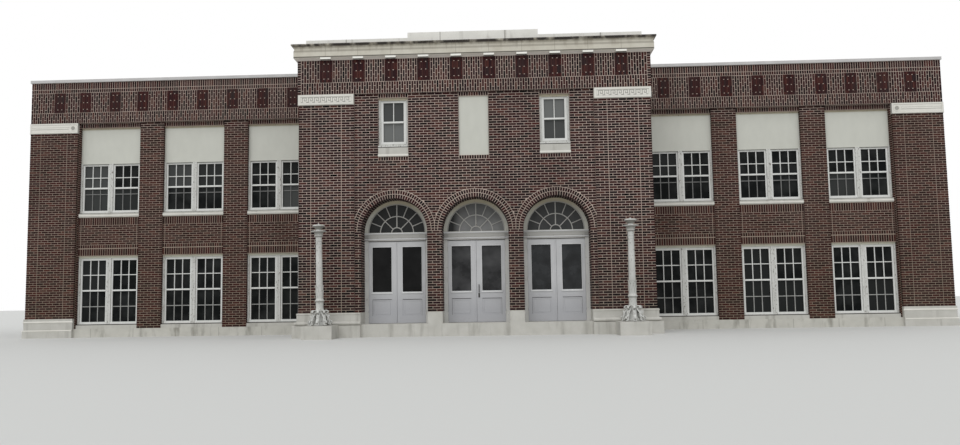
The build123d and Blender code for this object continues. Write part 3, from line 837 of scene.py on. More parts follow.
def panel_places(u0, u1, beside_pavilion):
    """The middles of the dark panels in a run of parapet. Beside the pavilion they aren't quite even."""
    centre = (u0 + u1) / 2
    if not beside_pavilion:
        count = 2 * round((u1 - u0 - 1.2) / 2 / panel_pitch) - 1
        return [centre + (i - (count - 1) / 2) * panel_pitch for i in range(count)]
    count = 2 * int((u1 - u0) / 2 / panel_pitch - 0.1) + 1
    outward = math.copysign(1.0, centre)
    places = [centre + (i - (count - 1) / 2) * panel_pitch for i in range(count)]
    places.sort(key=lambda place: -place * outward)
    drift = [-0.13, 0.0, 0.0] + [0.065] * (count - 3)
    return sorted(place + outward * by for place, by in zip(places, drift))


def parapet_bricks(work, face, u0, u1, places, low, high):
    """The outer face of a run of parapet, and the underside of its step from low to high."""
    z0, z1, z2, z3 = (parapet_low.z + rise for rise in (0.0, 0.333, 0.971, 1.082))
    work.lay(face, upright(u0, u1, z0, z1), pier_step)
    panel_band(work, face, u0, u1, places, z1, z2, pier_step)
    work.lay(face, soldiers(u0, u1, z2, z3), pier_step)
    work.lay(face, soldiers(u0, u1, z3, parapet_high.z), pier_step)
    work.lay(face.under(z0, pier_step), soldiers(low, high, -pier_step, 0.0), stand=shallow)


roof_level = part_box("roof_deck")[1].z


def main_side(name, face, start, end, middles, gap=()):
    """One side of the main block. start and end are the pier edges, and gap is what the pavilion covers."""
    work = Brickwork(name)
    inner_start, inner_end = start + corner_pier, end - corner_pier
    jambs = [edge for middle in middles for edge in around(middle, half_window)]
    for u0, u1 in pairs(sorted([inner_start, inner_end, *jambs, *gap])):
        low = u0 - corner_over if u0 in jambs else u0
        high = u1 + corner_over if u1 in jambs else u1
        work.lay(face, running(low, high, wall_low.z, wall_high.z))
    for middle in middles:
        bay_brickwork(work, face, middle)
    corner_pier_bricks(work, face, start, 1)
    corner_pier_bricks(work, face, end, -1)
    runs = pairs([start - corner_over, *gap, end + corner_over])
    for (u0, u1), ends in zip(runs, pairs([inner_start, *gap, inner_end])):
        parapet_bricks(work, face, u0, u1, panel_places(u0, u1, bool(gap)), *ends)
    inside = Face(face.at(0.0, 0.0, pier_step - parapet_thick), tuple(-face.out))
    back_gap = [-u for u in reversed(gap)]
    for u0, u1 in pairs([-end + parapet_thick, *back_gap, -start - parapet_thick]):
        work.lay(inside, running(u0, u1, roof_level, parapet_high.z))
    work.build(brick)


front = Face((0, wall_low.y, 0), (0, -1, 0))
rear = Face((0, wall_high.y, 0), (0, 1, 0))
left = Face((wall_low.x, 0, 0), (-1, 0, 0))
right = Face((wall_high.x, 0, 0), (1, 0, 0))
front_middles = [-x for x in reversed(wing_middles)] + wing_middles
rear_middles = sorted(front_middles + [-bay_pitch, 0.0, bay_pitch])
left_middles = sorted(-y for y in side_middles)

main_side("front_brickwork", front, pier_low.x, pier_high.x, front_middles, (-half_pavilion, half_pavilion))
main_side("rear_brickwork", rear, -pier_high.x, -pier_low.x, rear_middles)
main_side("left_brickwork", left, -pier_high.y, -pier_low.y, left_middles)
main_side("right_brickwork", right, pier_low.y, pier_high.y, side_middles)

# The pavilion's brickwork
ring_step = 0.1125
ring_outer = half_door + 2 * ring_step
pilaster_front = Face((0, pilaster_face, 0), (0, -1, 0))
door_wall = Face((0, wall_face, 0), (0, -1, 0))
frieze_front = Face((0, frieze_low.y, 0), (0, -1, 0))
small_pair = (-small_window_x, small_window_x)
small_half = small_window_width / 2
small_sill_low = spring + 2.075
block_middles = [(k - 4.5) * block_pitch for k in range(10)]
side_block_middles = around((frieze_low.y + pier_low.y) / 2, block_pitch / 2)
inner_pavilion = half_pavilion - (parapet_thick - pier_step)


def pilaster_bricks(work, side):
    """A pilaster in three strips with straight joints between them, and its step back to the door wall."""
    low, high = pilaster_low.z, pilaster_high.z
    edges = (half_pavilion + corner_over, half_pavilion - 0.335, half_pavilion - 1.185,
             half_middle - corner_over)
    for outer, inner in zip(edges, edges[1:]):
        work.lay(pilaster_front, running(*mirrored(side, inner, outer), low, high))
    flank(work, pilaster_front, side * half_middle, -side, -pilaster_step, 0.0, low, high)


def round_the_rings(outline):
    """What a brick's outline keeps outside the arch rings, cut on a line that touches the ring."""
    for x in doors:
        way = np.mean(outline, axis=0) - (x, spring)
        reach = np.linalg.norm(way)
        if reach < ring_outer + brick_long:
            way = way / reach
            outline = cut_off(outline, -way, -np.dot(way, (x, spring)) - ring_outer)
        if len(outline) < 3:
            return []
    return outline


def arch_rings(work, x):
    """Two rings of bricks on edge round an arch, cut short half-way to the next arch and at the pilaster."""
    low, high = max(x - door_pitch / 2, -half_middle), min(x + door_pitch / 2, half_middle)
    rings = (half_door - corner_over, half_door + ring_step, ring_outer)
    for inner, outer in zip(rings, rings[1:]):
        count = round(math.pi * (inner + outer) / 2 / course)
        outlines = []
        for i in range(count):
            a, b = math.pi * i / count, math.pi * (i + 1) / count
            corners = ((inner, a), (outer, a), (outer, b), (inner, b))
            outline = [np.array((x + r * math.cos(t), spring + r * math.sin(t))) for r, t in corners]
            outlines.append(cut_off(cut_off(outline, (1, 0), high), (-1, 0), -low))
        work.lay_cut(door_wall, outlines, (0.0, 0.8), 0.015)


def door_wall_bricks(work):
    """The wall round the three doorways, its arches, and the brickwork over them up to the frieze."""
    z0, z1 = pilaster_low.z, over_doors_high.z
    doorways = [(*around(x, half_door - corner_over), z0, spring) for x in doors]
    work.lay(door_wall, running(-half_middle, half_middle, z0, spring, doorways))
    high = (z1 - spring) / round((z1 - spring) / course)
    row_low = spring + round((small_sill_low - 0.11 - spring) / high) * high
    small_middles = (-small_window_x, 0.0, small_window_x)
    holes = [(*around(x, small_half), row_low, z1) for x in small_middles]
    whole, cut = [], []
    for quad in running(-half_middle, half_middle, spring, z1, holes):
        if quad[0][1] < spring + ring_outer + course:
            cut.append(round_the_rings([np.array(corner) for corner in quad]))
        else:
            whole.append(quad)
    work.lay(door_wall, whole)
    work.lay_cut(door_wall, cut)
    for x in small_middles:
        jambs = around(x, small_half)
        work.lay(door_wall, soldiers(*jambs, row_low, small_sill_low))
        work.lay(door_wall, soldiers(*jambs, high_frame_high.z, z1))
        for side, jamb in zip((-1, 1), jambs):
            flank(work, door_wall, jamb, -side, -frame_set_back, 0.0, small_sill_low, high_frame_high.z)
    for x in doors:
        arch_rings(work, x)
        # Painted shade in the deep doorways: the soffit's bricks take only the darker tones, the jambs'
        # bricks mostly dark ones.
        bricks = running(0, door_reveal + corner_over, 0, math.pi * half_door)
        work.lay(Soffit(x, leaf_face, half_door), bricks, 0.0, (0.0, 0.6), 0.009, shallow)
        for side, jamb in zip((-1, 1), around(x, half_door)):
            flank(work, door_wall, jamb, -side, -door_reveal, 0.0, z0, spring, (0.0, 0.7))


def frieze_bricks(work):
    """Bricks on end right across the pavilion, with ten dark panels under the cornice."""
    z0, z1, z2 = frieze_low.z, frieze_low.z + panel_foot, frieze_high.z
    outer, header = frieze_high.x + corner_over, 0.11
    inner = outer - header
    for u0, u1 in ((-outer, -outer + header), (inner, inner + header)):
        work.lay(frieze_front, running(u0, u1, z0, z2))
    work.lay(frieze_front, upright(-inner, inner, z0, z1))
    panel_band(work, frieze_front, -inner, inner, block_middles, z1, z2, 0.0)
    back = Face((0, frieze_high.y, 0), (0, 1, 0))
    work.lay(back, running(-inner_pavilion, inner_pavilion, roof_level, z2))
    step = frieze_low.y - wall_face
    work.lay(frieze_front.under(z0, 0.0), soldiers(-half_middle, half_middle, step, 0.0), stand=shallow)


def pavilion_side_bricks(work, side):
    """The pavilion's flank back to the wing, with the frieze and two of its panels round the corner."""
    z0, z1, z2 = frieze_low.z, frieze_low.z + panel_foot, frieze_high.z
    reach = mirrored(side, pilaster_face - corner_over, wall_low.y)
    work.lay(Face((side * half_pavilion, 0, 0), (side, 0, 0)), running(*reach, pilaster_low.z, z0))
    band = Face((side * frieze_high.x, 0, 0), (side, 0, 0))
    reach = mirrored(side, frieze_low.y - corner_over, pier_low.y)
    work.lay(band, upright(*reach, z0, z1))
    panel_band(work, band, *reach, sorted(side * y for y in side_block_middles), z1, z2, 0.0)
    reach = mirrored(-side, frieze_high.y, pier_low.y + parapet_thick)
    work.lay(Face((side * inner_pavilion, 0, 0), (-side, 0, 0)), running(*reach, roof_level, z2))


pavilion_work = Brickwork("pavilion_brickwork")
for side in (-1, 1):
    pilaster_bricks(pavilion_work, side)
    pavilion_side_bricks(pavilion_work, side)
door_wall_bricks(pavilion_work)
frieze_bricks(pavilion_work)
pavilion_work.build(brick)

marks = Brickwork("panel_joints")
for face, quad, depth in panel_marks:
    marks.lay(face, [quad], depth, gap=0.0, stand=0.0062, even=True)
marks.build(mortar)

# Windows. Each is modelled about x = 0 with the face of its frame on y = 0, then copied to its bays.
sides = ((front, front_middles), (rear, rear_middles), (left, left_middles), (right, side_middles))
bay_places = [face.matrix(x, bay_recess + frame_set_back) for face, middles in sides for x in middles]
small_places = [door_wall.matrix(x, frame_set_back) for x in small_pair]
frame_width = 0.06
half_mullion = 0.0675
half_meeting = 0.025
sash_face = frame_width / 2
glass_face = 0.07
bar_wide = 0.026
lower_rail = 0.07


class Window:
    """One kind of window, with its measures and places."""
    def __init__(self, places, half, z0, z1, stile, columns, head, foot, top_rail):
        self.places, self.stile, self.columns = places, stile, columns
        self.half, self.z0, self.z1 = half, z0, z1
        self.foot, self.middle, self.head = z0 + foot, (z0 + z1) / 2, z1 - head
        self.low, self.high = self.foot + lower_rail, self.head - top_rail
        edge = half - frame_width
        self.sashes = [(-edge, -half_mullion), (half_mullion, edge)] if columns > 2 else [(-edge, edge)]

    def bars(self, z0, z1, rise, near):
        """The chamfered glazing bars of one row of sashes, with a bar across at a share of the height."""
        parts = []
        half, far = bar_wide / 2, glass_face - 0.002
        for x0, x1 in self.sashes:
            x0, x1 = x0 + self.stile, x1 - self.stile
            for i in range(1, self.columns):
                x = x0 + (x1 - x0) * i / self.columns
                parts.append(block((x - half, near, z0), (x + half, far, z1), 0.006))
            if rise:
                z = z0 + (z1 - z0) * rise
                parts.append(block((x0, near + 0.001, z - half), (x1, far, z + half), 0.006))
        return join(parts)

    def timber(self, upper_bar):
        """The white stiles and rails of the sashes, their meeting rails and the bars of the upper ones."""
        out, back, middle = sash_face - 0.007, sash_face + 0.012, self.middle
        low, high = around(middle, half_meeting)
        parts = [self.bars(high, self.high, upper_bar, sash_face + 0.006)]
        for x0, x1 in self.sashes:
            a, b = x0 + self.stile, x1 - self.stile
            for left, right in ((x0, a), (b, x1)):
                parts.append(block((left, out, middle), (right, back, self.head), 0.005))
                parts.append(block((left, out + 0.004, self.foot), (right, back + 0.008, middle), 0.005))
            parts.append(block((a, out, self.high), (b, back, self.head), 0.005))
            parts.append(block((x0, -0.004, self.foot), (x1, back, self.low), 0.007, 2))
            parts.append(block((a, out - 0.008, low), (b, back, high), 0.006, 2))
        return join(parts)

    def moulds(self):
        """Weathered timber: the moulds against the brick and the two facings of the mullion."""
        z0, z1 = self.z0 + 0.024, self.z1 - 0.03
        spans = [(-self.half, -self.half + 0.055, 0.016), (self.half - 0.055, self.half, 0.016)]
        if self.columns > 2:
            spans += [(-half_mullion + 0.002, -0.006, 0.008), (0.006, half_mullion - 0.002, 0.008)]
        return join([block((a, -out, z0), (b, 0.002, z1), 0.005, 2) for a, b, out in spans])

    def strips(self, z0, z1, out, name="part"):
        """A flat strip across each window, a little in front of its frame."""
        return copies(block((-self.half, -out, z0), (self.half, 0.002, z1), 0.003), self.places, name)


low = Window(bay_places, half_window, low_frame_low.z, low_frame_high.z, 0.046, 3, 0.058, 0.028, 0.07)
high = Window(bay_places, half_window, high_frame_low.z, high_head, 0.046, 3, 0.058, 0.028, 0.042)
small = Window(small_places, small_half, small_sill, high_frame_high.z, 0.07, 2, 0.062, 0.05, 0.065)

for name, window, upper_bar, lower_bar, bar_paint in (
        ("low", low, 0.5, 0.5, low_bar_paint), ("high", high, 0.45, 0.76, screened_paint),
        ("small", small, 0.0, 0.0, low_bar_paint)):
    lower = window.bars(window.low, window.middle - half_meeting, lower_bar, sash_face + 0.014)
    for kind, model, finish in (("sashes", window.timber(upper_bar), sash_paint),
                                ("moulds", window.moulds(), window_paint), ("lower_bars", lower, bar_paint)):
        wear(copies(model, window.places, f"{name}_window_{kind}"), finish)

heads = [low.strips(low.z1 - 0.056, low.z1, 0.018), high.strips(lintel_low.z - 0.05, lintel_low.z, 0.008),
         small.strips(small.z1 - 0.068, small.z1, 0.018)]
wear(join(heads, "tan_heads"), head_paint)
wear(high.strips(high.z1 - 0.044, high.z1 + 0.004, 0.004, "board_feet"), board_paint)
sub_sill = block((-small.half - 0.006, -0.100, small.z0 - 0.036),
                 (small.half + 0.006, -0.085, small.z0 + 0.004), 0.004, 2)
wear(copies(sub_sill, small_places, "sub_sills"), window_paint)
# A dark strip under each small window's sub-sill: painted shadow.
sill_gap_shadow = block((-small.half, -0.097, small.z0 - 0.054), (small.half, -0.085, small.z0 - 0.036), 0.002)
# Dark strips of painted shadow at the foot of each sash frame and under each board's foot.
gap_shadows = [low.strips(low.z0, low.z0 + 0.022, 0.003), high.strips(high.z0, high.z0 + 0.02, 0.003),
        high.strips(high.z1 - 0.058, high.z1 - 0.044, 0.003), copies(sill_gap_shadow, small_places),
        small.strips(small.z0, small.z0 + 0.016, 0.003)]
wear(join(gap_shadows, "window_gap_shadows"), gap_shadow_paint)

# Doors
leaf_low, leaf_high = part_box("middle_door_right_leaf")
pane_low, pane_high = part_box("middle_door_right_glass")
transom_low = leaf_high.z + 0.005
transom_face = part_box("door_frames")[0].y
panel_low, panel_high = leaf_low.z + 0.202, leaf_low.z + 0.662
fan_reach = half_door - 0.1305


def loop_mould(x0, x1, z0, z1, y0, y1, width, bevel):
    """Four mouldings round a panel or a pane."""
    foot, head = z0 - width, z1 + width
    spans = ((x0 - width, x0, foot, head), (x1, x1 + width, foot, head),
             (x0, x1, foot, z0), (x0, x1, z1, head))
    return join([block((a, y0, c), (b, y1, d), bevel, 2) for a, b, c, d in spans])


def leaf_beads():
    """The white beads round a leaf's glass and the ledge under it."""
    x0, x1, z0, z1, y = pane_low.x, pane_high.x, pane_low.z, pane_high.z, leaf_face
    ledge = block((x0 - 0.03, y - 0.018, z0 - 0.048), (x1 + 0.03, y + 0.004, z0 - 0.016), 0.005, 2)
    return join([loop_mould(x0, x1, z0, z1, y - 0.012, y + 0.010, 0.017, 0.004), ledge])


def leaf_mouldings(side):
    """The inner frame of a leaf's panel, and the strip that covers the meeting stiles."""
    inset, y = 0.055, leaf_face
    parts = [loop_mould(pane_low.x + inset, pane_high.x - inset, panel_low + inset, panel_high - inset,
                        y + 0.006, y + 0.014, 0.014, 0.003)]
    if side == "left":
        z0, z1 = leaf_low.z + 0.01, leaf_high.z - 0.01
        parts.append(block((0.006, y - 0.010, z0), (0.042, y + 0.004, z1), 0.005, 2))
    return join(parts)


def leaf_gap_shadows():
    """Dark lines of painted shadow round a leaf's lower panel."""
    y0, y1, low, high = leaf_face + 0.004, leaf_face + 0.014, panel_high - 0.013, panel_high
    return join([block((pane_low.x, y0, low), (pane_high.x, y1, high), 0.002),
                 block((pane_high.x - 0.006, y0, panel_low), (pane_high.x, y1, low), 0.002)])


for pair, shift in zip(("left", "middle", "right"), doors):
    for side, sign in (("left", -1), ("right", 1)):
        body = f"{pair}_door_{side}_leaf"
        place = Matrix.Translation((shift, 0, 0)) @ Matrix.Scale(sign, 4, (1, 0, 0))
        for kind, model, finish in (("mouldings", leaf_mouldings(side), door_paint),
                                    ("beads", leaf_beads(), bead_and_highlight_paint), ("gap_shadows", leaf_gap_shadows(), gap_shadow_paint)):
            wear(copies(model, [place], f"{body}_{kind}"), finish, body)


def half_hoop(radius, wide, y0, y1, base):
    """A half ring of square section that stands on the transom."""
    steps = 32
    inner, outer = around(radius, wide / 2)
    section = ((inner, y0), (outer, y0), (outer, y1), (inner, y1))
    turns = [math.pi * i / steps for i in range(steps + 1)]
    return skin([[(r * math.cos(t), y, base + r * math.sin(t)) for r, y in section] for t in turns])


def fanlight_bars():
    """The bars of one fanlight: two half rings, and bars that fan out between them and the frame."""
    y0, y1 = leaf_face + 0.006, leaf_face + 0.031
    hub, ring_radius, wide, middle_wide = 0.152, 0.47, 0.025, 0.03
    parts = [half_hoop(radius, wide, y0, y1, spring) for radius in (hub, ring_radius)]
    for i in range(1, 8):
        start = ring_radius if i % 2 else hub
        half = (middle_wide if i == 4 else wide) / 2
        bar = block((start, y0 + 0.001, -half), (fan_reach + 0.006, y1, half), 0.004)
        turn = Matrix.Rotation(-math.radians(22.5 * i), 4, "Y")
        bar.data.transform(Matrix.Translation((0, 0, spring)) @ turn)
        parts.append(bar)
    return join(parts)


def transom_lines(name, finish, *outlines):
    """Mouldings along each transom bar."""
    half = half_door - 0.004
    lines = [swept(outline, [(-half, transom_face), (half, transom_face)]) for outline in outlines]
    wear(copies(join(lines), door_places, name), finish)


door_places = [Matrix.Translation((x, 0, 0)) for x in doors]
wear(copies(fanlight_bars(), door_places, "fanlight_bars"), frame_paint)
arch_bead = half_hoop(fan_reach + 0.012, 0.022, leaf_face - 0.009, leaf_face + 0.002, spring + 0.012)
wear(copies(arch_bead, door_places, "arch_beads"), frame_paint)
transom_lines("transom_lines", bead_and_highlight_paint,
              [(0.0, 2.842), (0.012, 2.842), (0.022, 2.852), (0.034, 2.856), (0.034, 2.876), (0.0, 2.881)],
              [(0.0, 2.688), (0.012, 2.690), (0.018, 2.698), (0.018, 2.712), (0.012, 2.718), (0.0, 2.720)])
transom_lines("transom_fascia", frame_paint, [(0.0, 2.748), (0.008, 2.750), (0.008, 2.764), (0.0, 2.766)],
              [(0.0, 2.810), (0.006, 2.812), (0.010, 2.842), (0.0, 2.842)])
# A dark strip under each transom: painted shadow in the gap over the leaves.
transom_gap_shadow = block((-half_door + 0.11, transom_face - 0.002, transom_low),
                    (half_door - 0.11, transom_face + 0.002, transom_low + 0.016), 0.001)
wear(copies(transom_gap_shadow, door_places, "transom_gap_shadows"), gap_shadow_paint)

# Stonework
impost_low = pilaster_high.z
impost_face = frieze_low.y
cap_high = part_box("pier_caps")[1]
cap_face = pier_low.y - (cap_high.x - pier_high.x)
impost_x0, impost_x1 = half_middle + 0.012, half_pavilion + 0.018
impost_z0, impost_z1 = impost_low + 0.012, frieze_low.z - 0.012
impost_edge = 0.046
cap_z0, cap_z1 = pier_high.z + 0.012, parapet_low.z - 0.012
cap_x0, cap_x1 = pier_inner - 0.008, cap_high.x - 0.012
cap_middle = (cap_z0 + cap_z1) / 2


def frieze_blocks():
    """The small white blocks in the cornice's bed mould, one over each dark panel."""
    half, out, foot, head = 0.148, 0.103, cornice_low.z + 0.001, cornice_low.z + 0.060
    spans = [(*around(x, half), frieze_low.y - out, frieze_low.y - 0.01) for x in block_middles]
    for side in (-1, 1):
        reach = mirrored(side, frieze_high.x + 0.01, frieze_high.x + out)
        spans += [(*reach, *around(y, half)) for y in side_block_middles]
    blocks = [block((x0, y0, foot), (x1, y1, head), 0.005, 2) for x0, x1, y0, y1 in spans]
    return join(blocks, "frieze_blocks")


def border(x0, x1, z0, z1, y, wide):
    """A raised border with rounded corners, round a sunk field, on a face at y."""
    out = 0.014
    obj = block((x0, y - out, z0), (x1, y + 0.002, z1))
    pick_faces(obj, 1)
    bpy.ops.mesh.inset(thickness=wide, depth=0)
    bpy.ops.mesh.inset(thickness=out * 0.8, depth=-out * 0.8)
    bpy.ops.object.mode_set(mode="OBJECT")
    return apply(obj, "BEVEL", width=0.006, segments=2, limit_method="ANGLE", angle_limit=math.radians(50))


def grooves(y, *spans):
    """Thin dark lines on a face that looks to -Y."""
    return join([block((x0, y - 0.003, z0), (x1, y + 0.002, z1), 0.001) for x0, x1, z0, z1 in spans])


def groove_loop(x0, x1, z0, z1, y, inset, wide):
    """A thin dark line inside the border of a rectangle."""
    x0, x1, z0, z1 = x0 + inset, x1 - inset, z0 + inset, z1 - inset
    low, high = z0 + wide, z1 - wide
    return grooves(y, (x0, x1, z0, low), (x0, x1, high, z1),
                   (x0, x0 + wide, low, high), (x1 - wide, x1, low, high))


def greek_key(width, height):
    """One turn of a square meander, with its left foot on the origin, facing -Y."""
    x1, x2, x3, half = width * 0.12, width * 0.46, width * 0.78, 0.019 / 2
    z1, z2 = height * 0.34, height * 0.68
    runs = ((0, x1, 0, 0), (x1, x1, 0, height), (x1, x3, height, height), (x3, x3, z1, height),
            (x2, x3, z1, z1), (x2, x2, z1, z2), (x3, width, 0, 0))
    return join([block((xa - half, -0.004, za - half), (xb + half, 0.002, zb + half), 0.001)
                 for xa, xb, za, zb in runs])


def impost_stones():
    """The border of each impost stone, and the line inside it and the square meander in strips of painted
    shade.
    """
    count, edge, y = 8, impost_edge, impost_face
    width = (impost_x1 - impost_x0 - 2 * edge - 0.09) / count
    height = impost_z1 - impost_z0 - 2 * edge - 0.062
    raised, shade_lines = [], []
    for side in (-1, 1):
        x0, x1 = mirrored(side, impost_x0, impost_x1)
        raised.append(border(x0, x1, impost_z0, impost_z1, y, edge))
        shade_lines.append(groove_loop(x0, x1, impost_z0, impost_z1, y - 0.003, edge, 0.013))
        places = [Matrix.Translation((x0 + edge + 0.05 + i * width, y, impost_z0 + edge + 0.031))
                  for i in range(count)]
        shade_lines.append(copies(greek_key(width, height), places))
    return join(raised, "impost_borders"), join(shade_lines, "impost_grooves")


def on_cap(profile, steps, side):
    """A turned piece set on the scroll at the inner end of a corner cap."""
    piece = turned(profile, steps)
    place = Matrix.Translation((side * (cap_x0 + 0.15), cap_face + 0.0005, cap_middle))
    piece.data.transform(place @ Matrix.Rotation(math.pi / 2, 4, "X"))
    return piece


def corner_caps():
    """The border, rib and scroll of each corner cap, and the lines of painted shade beside them."""
    raised, shade_lines = [], []
    y = cap_face
    for side in (-1, 1):
        x0, x1 = mirrored(side, cap_x0, cap_x1)
        a, b = mirrored(side, cap_x0 + 0.29, cap_x1 - 0.05)
        raised += [border(x0, x1, cap_z0, cap_z1, y, 0.032),
                   on_cap([(0.066, 0.0), (0.070, 0.013), (0.088, 0.013), (0.092, 0.0)], 24, side),
                   block((a, y - 0.009, cap_middle - 0.02), (b, y + 0.002, cap_middle + 0.02), 0.006, 2)]
        rib = mirrored(side, cap_x0 + 0.27, cap_x1 - 0.05)
        lines = [(*rib, z, z + 0.012) for z in (cap_middle - 0.036, cap_middle + 0.024)]
        shade_lines += [groove_loop(x0, x1, cap_z0, cap_z1, y, 0.034, 0.014), grooves(y, *lines),
                  on_cap([(0.0, 0.0), (0.0, 0.004), (0.060, 0.004), (0.064, 0.0)], 20, side)]
    return join(raised, "cap_mouldings"), join(shade_lines, "cap_grooves")


def bead(z, radius, out, steps=5):
    """A half-round outline at height z that stands out from a face."""
    turns = [math.pi * i / steps for i in range(steps + 1)]
    curve = [(out * math.sin(t), z - radius * math.cos(t)) for t in turns]
    return [(-0.002, z - radius), *curve, (-0.002, z + radius)]


def plinth_beads():
    """Rounded ledges along the corner plinths' outer faces, at the upper step's foot and under its wash."""
    low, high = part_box("corner_plinths")
    reach = corner_pier + 0.05
    pieces = []
    for sx in (-1, 1):
        for sy, edge in ((-1, low.y), (1, high.y)):
            for z, back, radius, out in ((0.485, 0.025, 0.026, 0.016), (0.222, 0.0, 0.02, 0.010)):
                x, y = sx * (high.x - back), edge - sy * back
                path = [(x - sx * reach, y), (x, y), (x, y - sy * reach)]
                pieces.append(swept(bead(z, radius, out), path[::-1] if sx * sy > 0 else path))
    return join(pieces, "plinth_beads")


def base_torus():
    """The rounded moulding round the step of the pavilion's base."""
    low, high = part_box("pavilion_base")
    inner, x, y = door_pitch + half_door + 0.002, high.x - 0.10, low.y + 0.10
    pieces = []
    for side in (-1, 1):
        path = [(side * inner, y), (side * x, y), (side * x, wall_low.y - 0.06)][::side]
        pieces += [swept(bead(0.385, 0.052, 0.06, 8), path), swept(bead(0.635, 0.018, 0.012, 4), path)]
    return join(pieces, "base_torus")


def sill_lips():
    """The drip lip along the foot of each small window's sill, and the bright nose of the upper sills."""
    y, z, half = wall_face - sill_out, small_sill_low, small.half + 0.012
    parts = [block((x - half, y - 0.012, z + 0.008), (x + half, y + 0.004, z + 0.066), 0.006, 2)
             for x in small_pair]
    nose = block((-half_window, -0.010, high.z0 - 0.085), (half_window, 0.004, high.z0 - 0.045), 0.006, 2)
    outward = Matrix.Translation((0, -frame_set_back - sill_out, 0))
    parts.append(copies(nose, [place @ outward for place in bay_places]))
    return join(parts, "sill_lips")


wear(frieze_blocks(), bright_stone)
for stones in (impost_stones, corner_caps):
    raised, shade_lines = stones()
    wear(raised, clean_stone)
    wear(shade_lines, carved_shade)
wear(plinth_beads(), clean_stone)
wear(base_torus(), limestone)
wear(sill_lips(), clean_stone)

# Lamp standards
lamp_low, lamp_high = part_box("lamp_standards")
lamp_x = lamp_high.x - 0.37
lamp_y = (lamp_low.y + lamp_high.y) / 2


def lamp_shaft():
    """The turned standard: drum, ring, fluted shaft, collars, bell, disc and a lidded cup."""
    profile = [
        (0.0, 0.002), (0.17, 0.002), (0.175, 0.03), (0.15, 0.05), (0.125, 0.10), (0.108, 0.17),
        (0.100, 0.26), (0.097, 0.36), (0.108, 0.395), (0.108, 0.425), (0.099, 0.44), (0.101, 0.50),
        (0.101, 0.60), (0.110, 0.63), (0.124, 0.645), (0.124, 0.672), (0.104, 0.69), (0.094, 0.72),
        (0.090, 0.76), (0.090, 1.05), (0.087, 1.40), (0.084, 1.80), (0.080, 2.16), (0.084, 2.165),
        (0.084, 2.18), (0.080, 2.185), (0.080, 2.225), (0.087, 2.23), (0.087, 2.245), (0.080, 2.25),
        (0.080, 2.32), (0.086, 2.35), (0.100, 2.372), (0.110, 2.378), (0.110, 2.396), (0.098, 2.404),
        (0.104, 2.43), (0.122, 2.462), (0.135, 2.482), (0.200, 2.492), (0.203, 2.508), (0.190, 2.516),
        (0.092, 2.522), (0.070, 2.534), (0.070, 2.556), (0.084, 2.572), (0.104, 2.592), (0.122, 2.615),
        (0.150, 2.632), (0.164, 2.642), (0.164, 2.662), (0.130, 2.676), (0.060, 2.690), (0.024, 2.696),
        (0.020, 2.712), (0.0, 2.718)]
    shaft = turned(profile, 48)
    for vert in shaft.data.vertices:
        if 0.755 < vert.co.z < 2.155:
            hollow = 1 - 0.03 * (1 + math.cos(12 * math.atan2(vert.co.y, vert.co.x)))
            vert.co.x *= hollow
            vert.co.y *= hollow
    return shaft


def turns(count, shift=0.0):
    """Even turns about the upright axis."""
    return [Matrix.Rotation(2 * math.pi * (i + shift) / count, 4, "Z") for i in range(count)]


def lamp_leaves():
    """Two rings of cast leaves that lie against the lower shaft, their tips curled outwards."""
    bpy.ops.object.select_all(action="DESELECT")
    bpy.ops.mesh.primitive_grid_add(x_subdivisions=4, y_subdivisions=8, size=1, location=(0, 0, 0))
    leaf = bpy.context.object
    for vert in leaf.data.vertices:
        across, along = vert.co.x * 2, vert.co.y + 0.5
        half = 0.034 * math.sin(math.pi * (0.12 + 0.84 * along)) ** 0.7
        out = 0.094 + 0.006 * (1 - across * across) + 0.022 * along ** 4
        turn = across * half / 0.094
        vert.co = (out * math.cos(turn), out * math.sin(turn), 0.21 * along - 0.02 * max(0.0, along - 0.85))
    apply(leaf, "SOLIDIFY", thickness=0.007, offset=-1)
    lower, upper = Matrix.Translation((0, 0, 0.72)), Matrix.Translation((0, 0, 0.86))
    places = [lower @ turn for turn in turns(8)] + [upper @ turn for turn in turns(8, 0.5)]
    return copies(leaf, places)


def curl(x, z, start, sweep, radius, growth):
    """Points on a spiral round a centre."""
    steps = 14
    for i in range(steps):
        share = i / (steps - 1)
        turn, reach = math.radians(start + sweep * share), radius + growth * share
        yield x + reach * math.cos(turn), z + reach * math.sin(turn)


def scroll_bracket():
    """One cast scroll bracket in the XZ plane: a curl at the foot, a rise and a curl at the tip."""
    line = [*curl(0.285, 0.082, -60, 330, 0.028, 0.036)]
    for share in (0.25, 0.5, 0.75):
        line.append((0.285 - 0.10 * share, 0.02 + 0.27 * share + 0.02 * math.sin(math.pi * share)))
    line += curl(0.185, 0.35, 200, -330, 0.058, -0.032)
    last = len(line) - 1
    rings = []
    for i, (radius, height) in enumerate(line):
        along = (Vector(line[min(i + 1, last)]) - Vector(line[max(i - 1, 0)])).normalized()
        bulk = 0.55 + 0.45 * math.sin(math.pi * i / last)
        thick, wide = 0.019 * bulk, 0.042 * bulk
        section = [(thick, -wide * 0.6), (thick, wide * 0.6), (0.0, wide)]
        section += [(-a, -b) for a, b in section]
        rings.append([(radius - along.y * a, b, height + along.x * a) for a, b in section])
    return skin(rings)


def bracket_leaf():
    """A small curled leaf that fills the bend of a bracket."""
    bpy.ops.object.select_all(action="DESELECT")
    bpy.ops.mesh.primitive_uv_sphere_add(segments=10, ring_count=6, radius=1, location=(0, 0, 0))
    leaf = bpy.context.object
    for vert in leaf.data.vertices:
        x, y, z = vert.co
        vert.co = (0.215 + 0.035 * x + 0.0105 * (z + 1) ** 2, 0.035 * y * (1.2 - 0.4 * z), 0.19 + 0.10 * z)
    return leaf


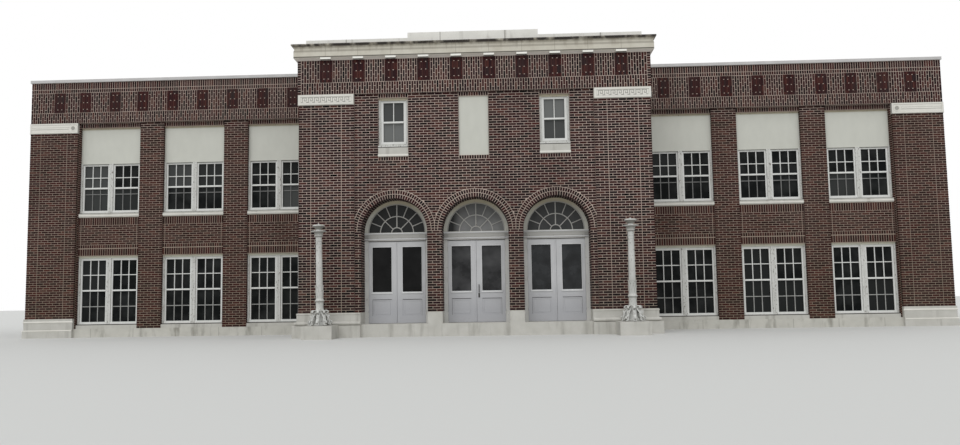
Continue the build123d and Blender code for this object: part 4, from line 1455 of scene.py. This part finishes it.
feet = copies(join([scroll_bracket(), bracket_leaf()]), turns(4, 0.5) + turns(4))
lamp = join([lamp_shaft(), lamp_leaves(), feet])
lean = Matrix.Rotation(math.radians(-0.9), 4, "Y")
lamp_places = [Matrix.Translation((-lamp_x, lamp_y, lamp_low.z)) @ lean,
               Matrix.Translation((lamp_x, lamp_y, lamp_low.z))]
lamps = copies(lamp, lamp_places, "cast_lamps")
alone(lamps)
bpy.ops.object.shade_smooth_by_angle(angle=math.radians(35))
wear(lamps, lamp_paint)
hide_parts("lamp_standards")

# Stage, light and camera. A pale floor under the school, and a white surround that lights it evenly.
bpy.ops.object.select_all(action="DESELECT")
bpy.ops.mesh.primitive_plane_add(size=400, location=(0, 0, 0))
floor = bpy.context.object
floor.name = "floor"
pale = Finish("pale_floor", 0.9)
feed(pale.tree, pale.bsdf.inputs["Base Color"], (0.62, 0.62, 0.60))
floor.data.materials.append(pale.material)

world = bpy.data.worlds.new("white_surround")
scene.world = world
world.use_nodes = True
tree = world.node_tree
tree.nodes.clear()
rays = add_node(tree, "LightPath").outputs
seen = rays["Is Camera Ray"]
for ray in ("Is Glossy Ray", "Is Transmission Ray"):
    seen = add_node(tree, "Math", seen, rays[ray], operation="MAXIMUM").outputs[0]
glow = add_node(tree, "Background", (0.96, 0.98, 1.0), 0.75).outputs[0]
shown = add_node(tree, "Background", (1, 1, 1), 1.0).outputs[0]
add_node(tree, "OutputWorld", add_node(tree, "MixShader", seen, glow, shown).outputs[0])

# One broad soft sun from high in front, for a little shade under ledges.
light = bpy.data.lights.new("broad_sun", "SUN")
light.energy = 1.1
light.angle = math.radians(50)
sun = bpy.data.objects.new("broad_sun", light)
sun.rotation_euler = (math.radians(38), 0, math.radians(-14))
scene.collection.objects.link(sun)

# The photograph's view: from the ground in front, a little to the left and up.
focal_pixels, image_width, image_height, principal_y = 756.8, 960, 445, 239.4
lens = bpy.data.cameras.new("camera")
lens.sensor_width = 36
lens.lens = focal_pixels / image_width * lens.sensor_width
lens.shift_y = (principal_y - image_height / 2) / image_width
lens.clip_end = 500
eye = bpy.data.objects.new("camera", lens)
heading, tilt, roll = 0.0372, math.pi / 2 + 0.08028, -0.01553
turn = Matrix.Rotation(heading, 4, "Z") @ Matrix.Rotation(tilt, 4, "X") @ Matrix.Rotation(roll, 4, "Z")
eye.matrix_world = Matrix.Translation((0.895, pilaster_face - 20.545, 0.955)) @ turn
scene.collection.objects.link(eye)
scene.camera = eye
scene.view_settings.view_transform = "Standard"
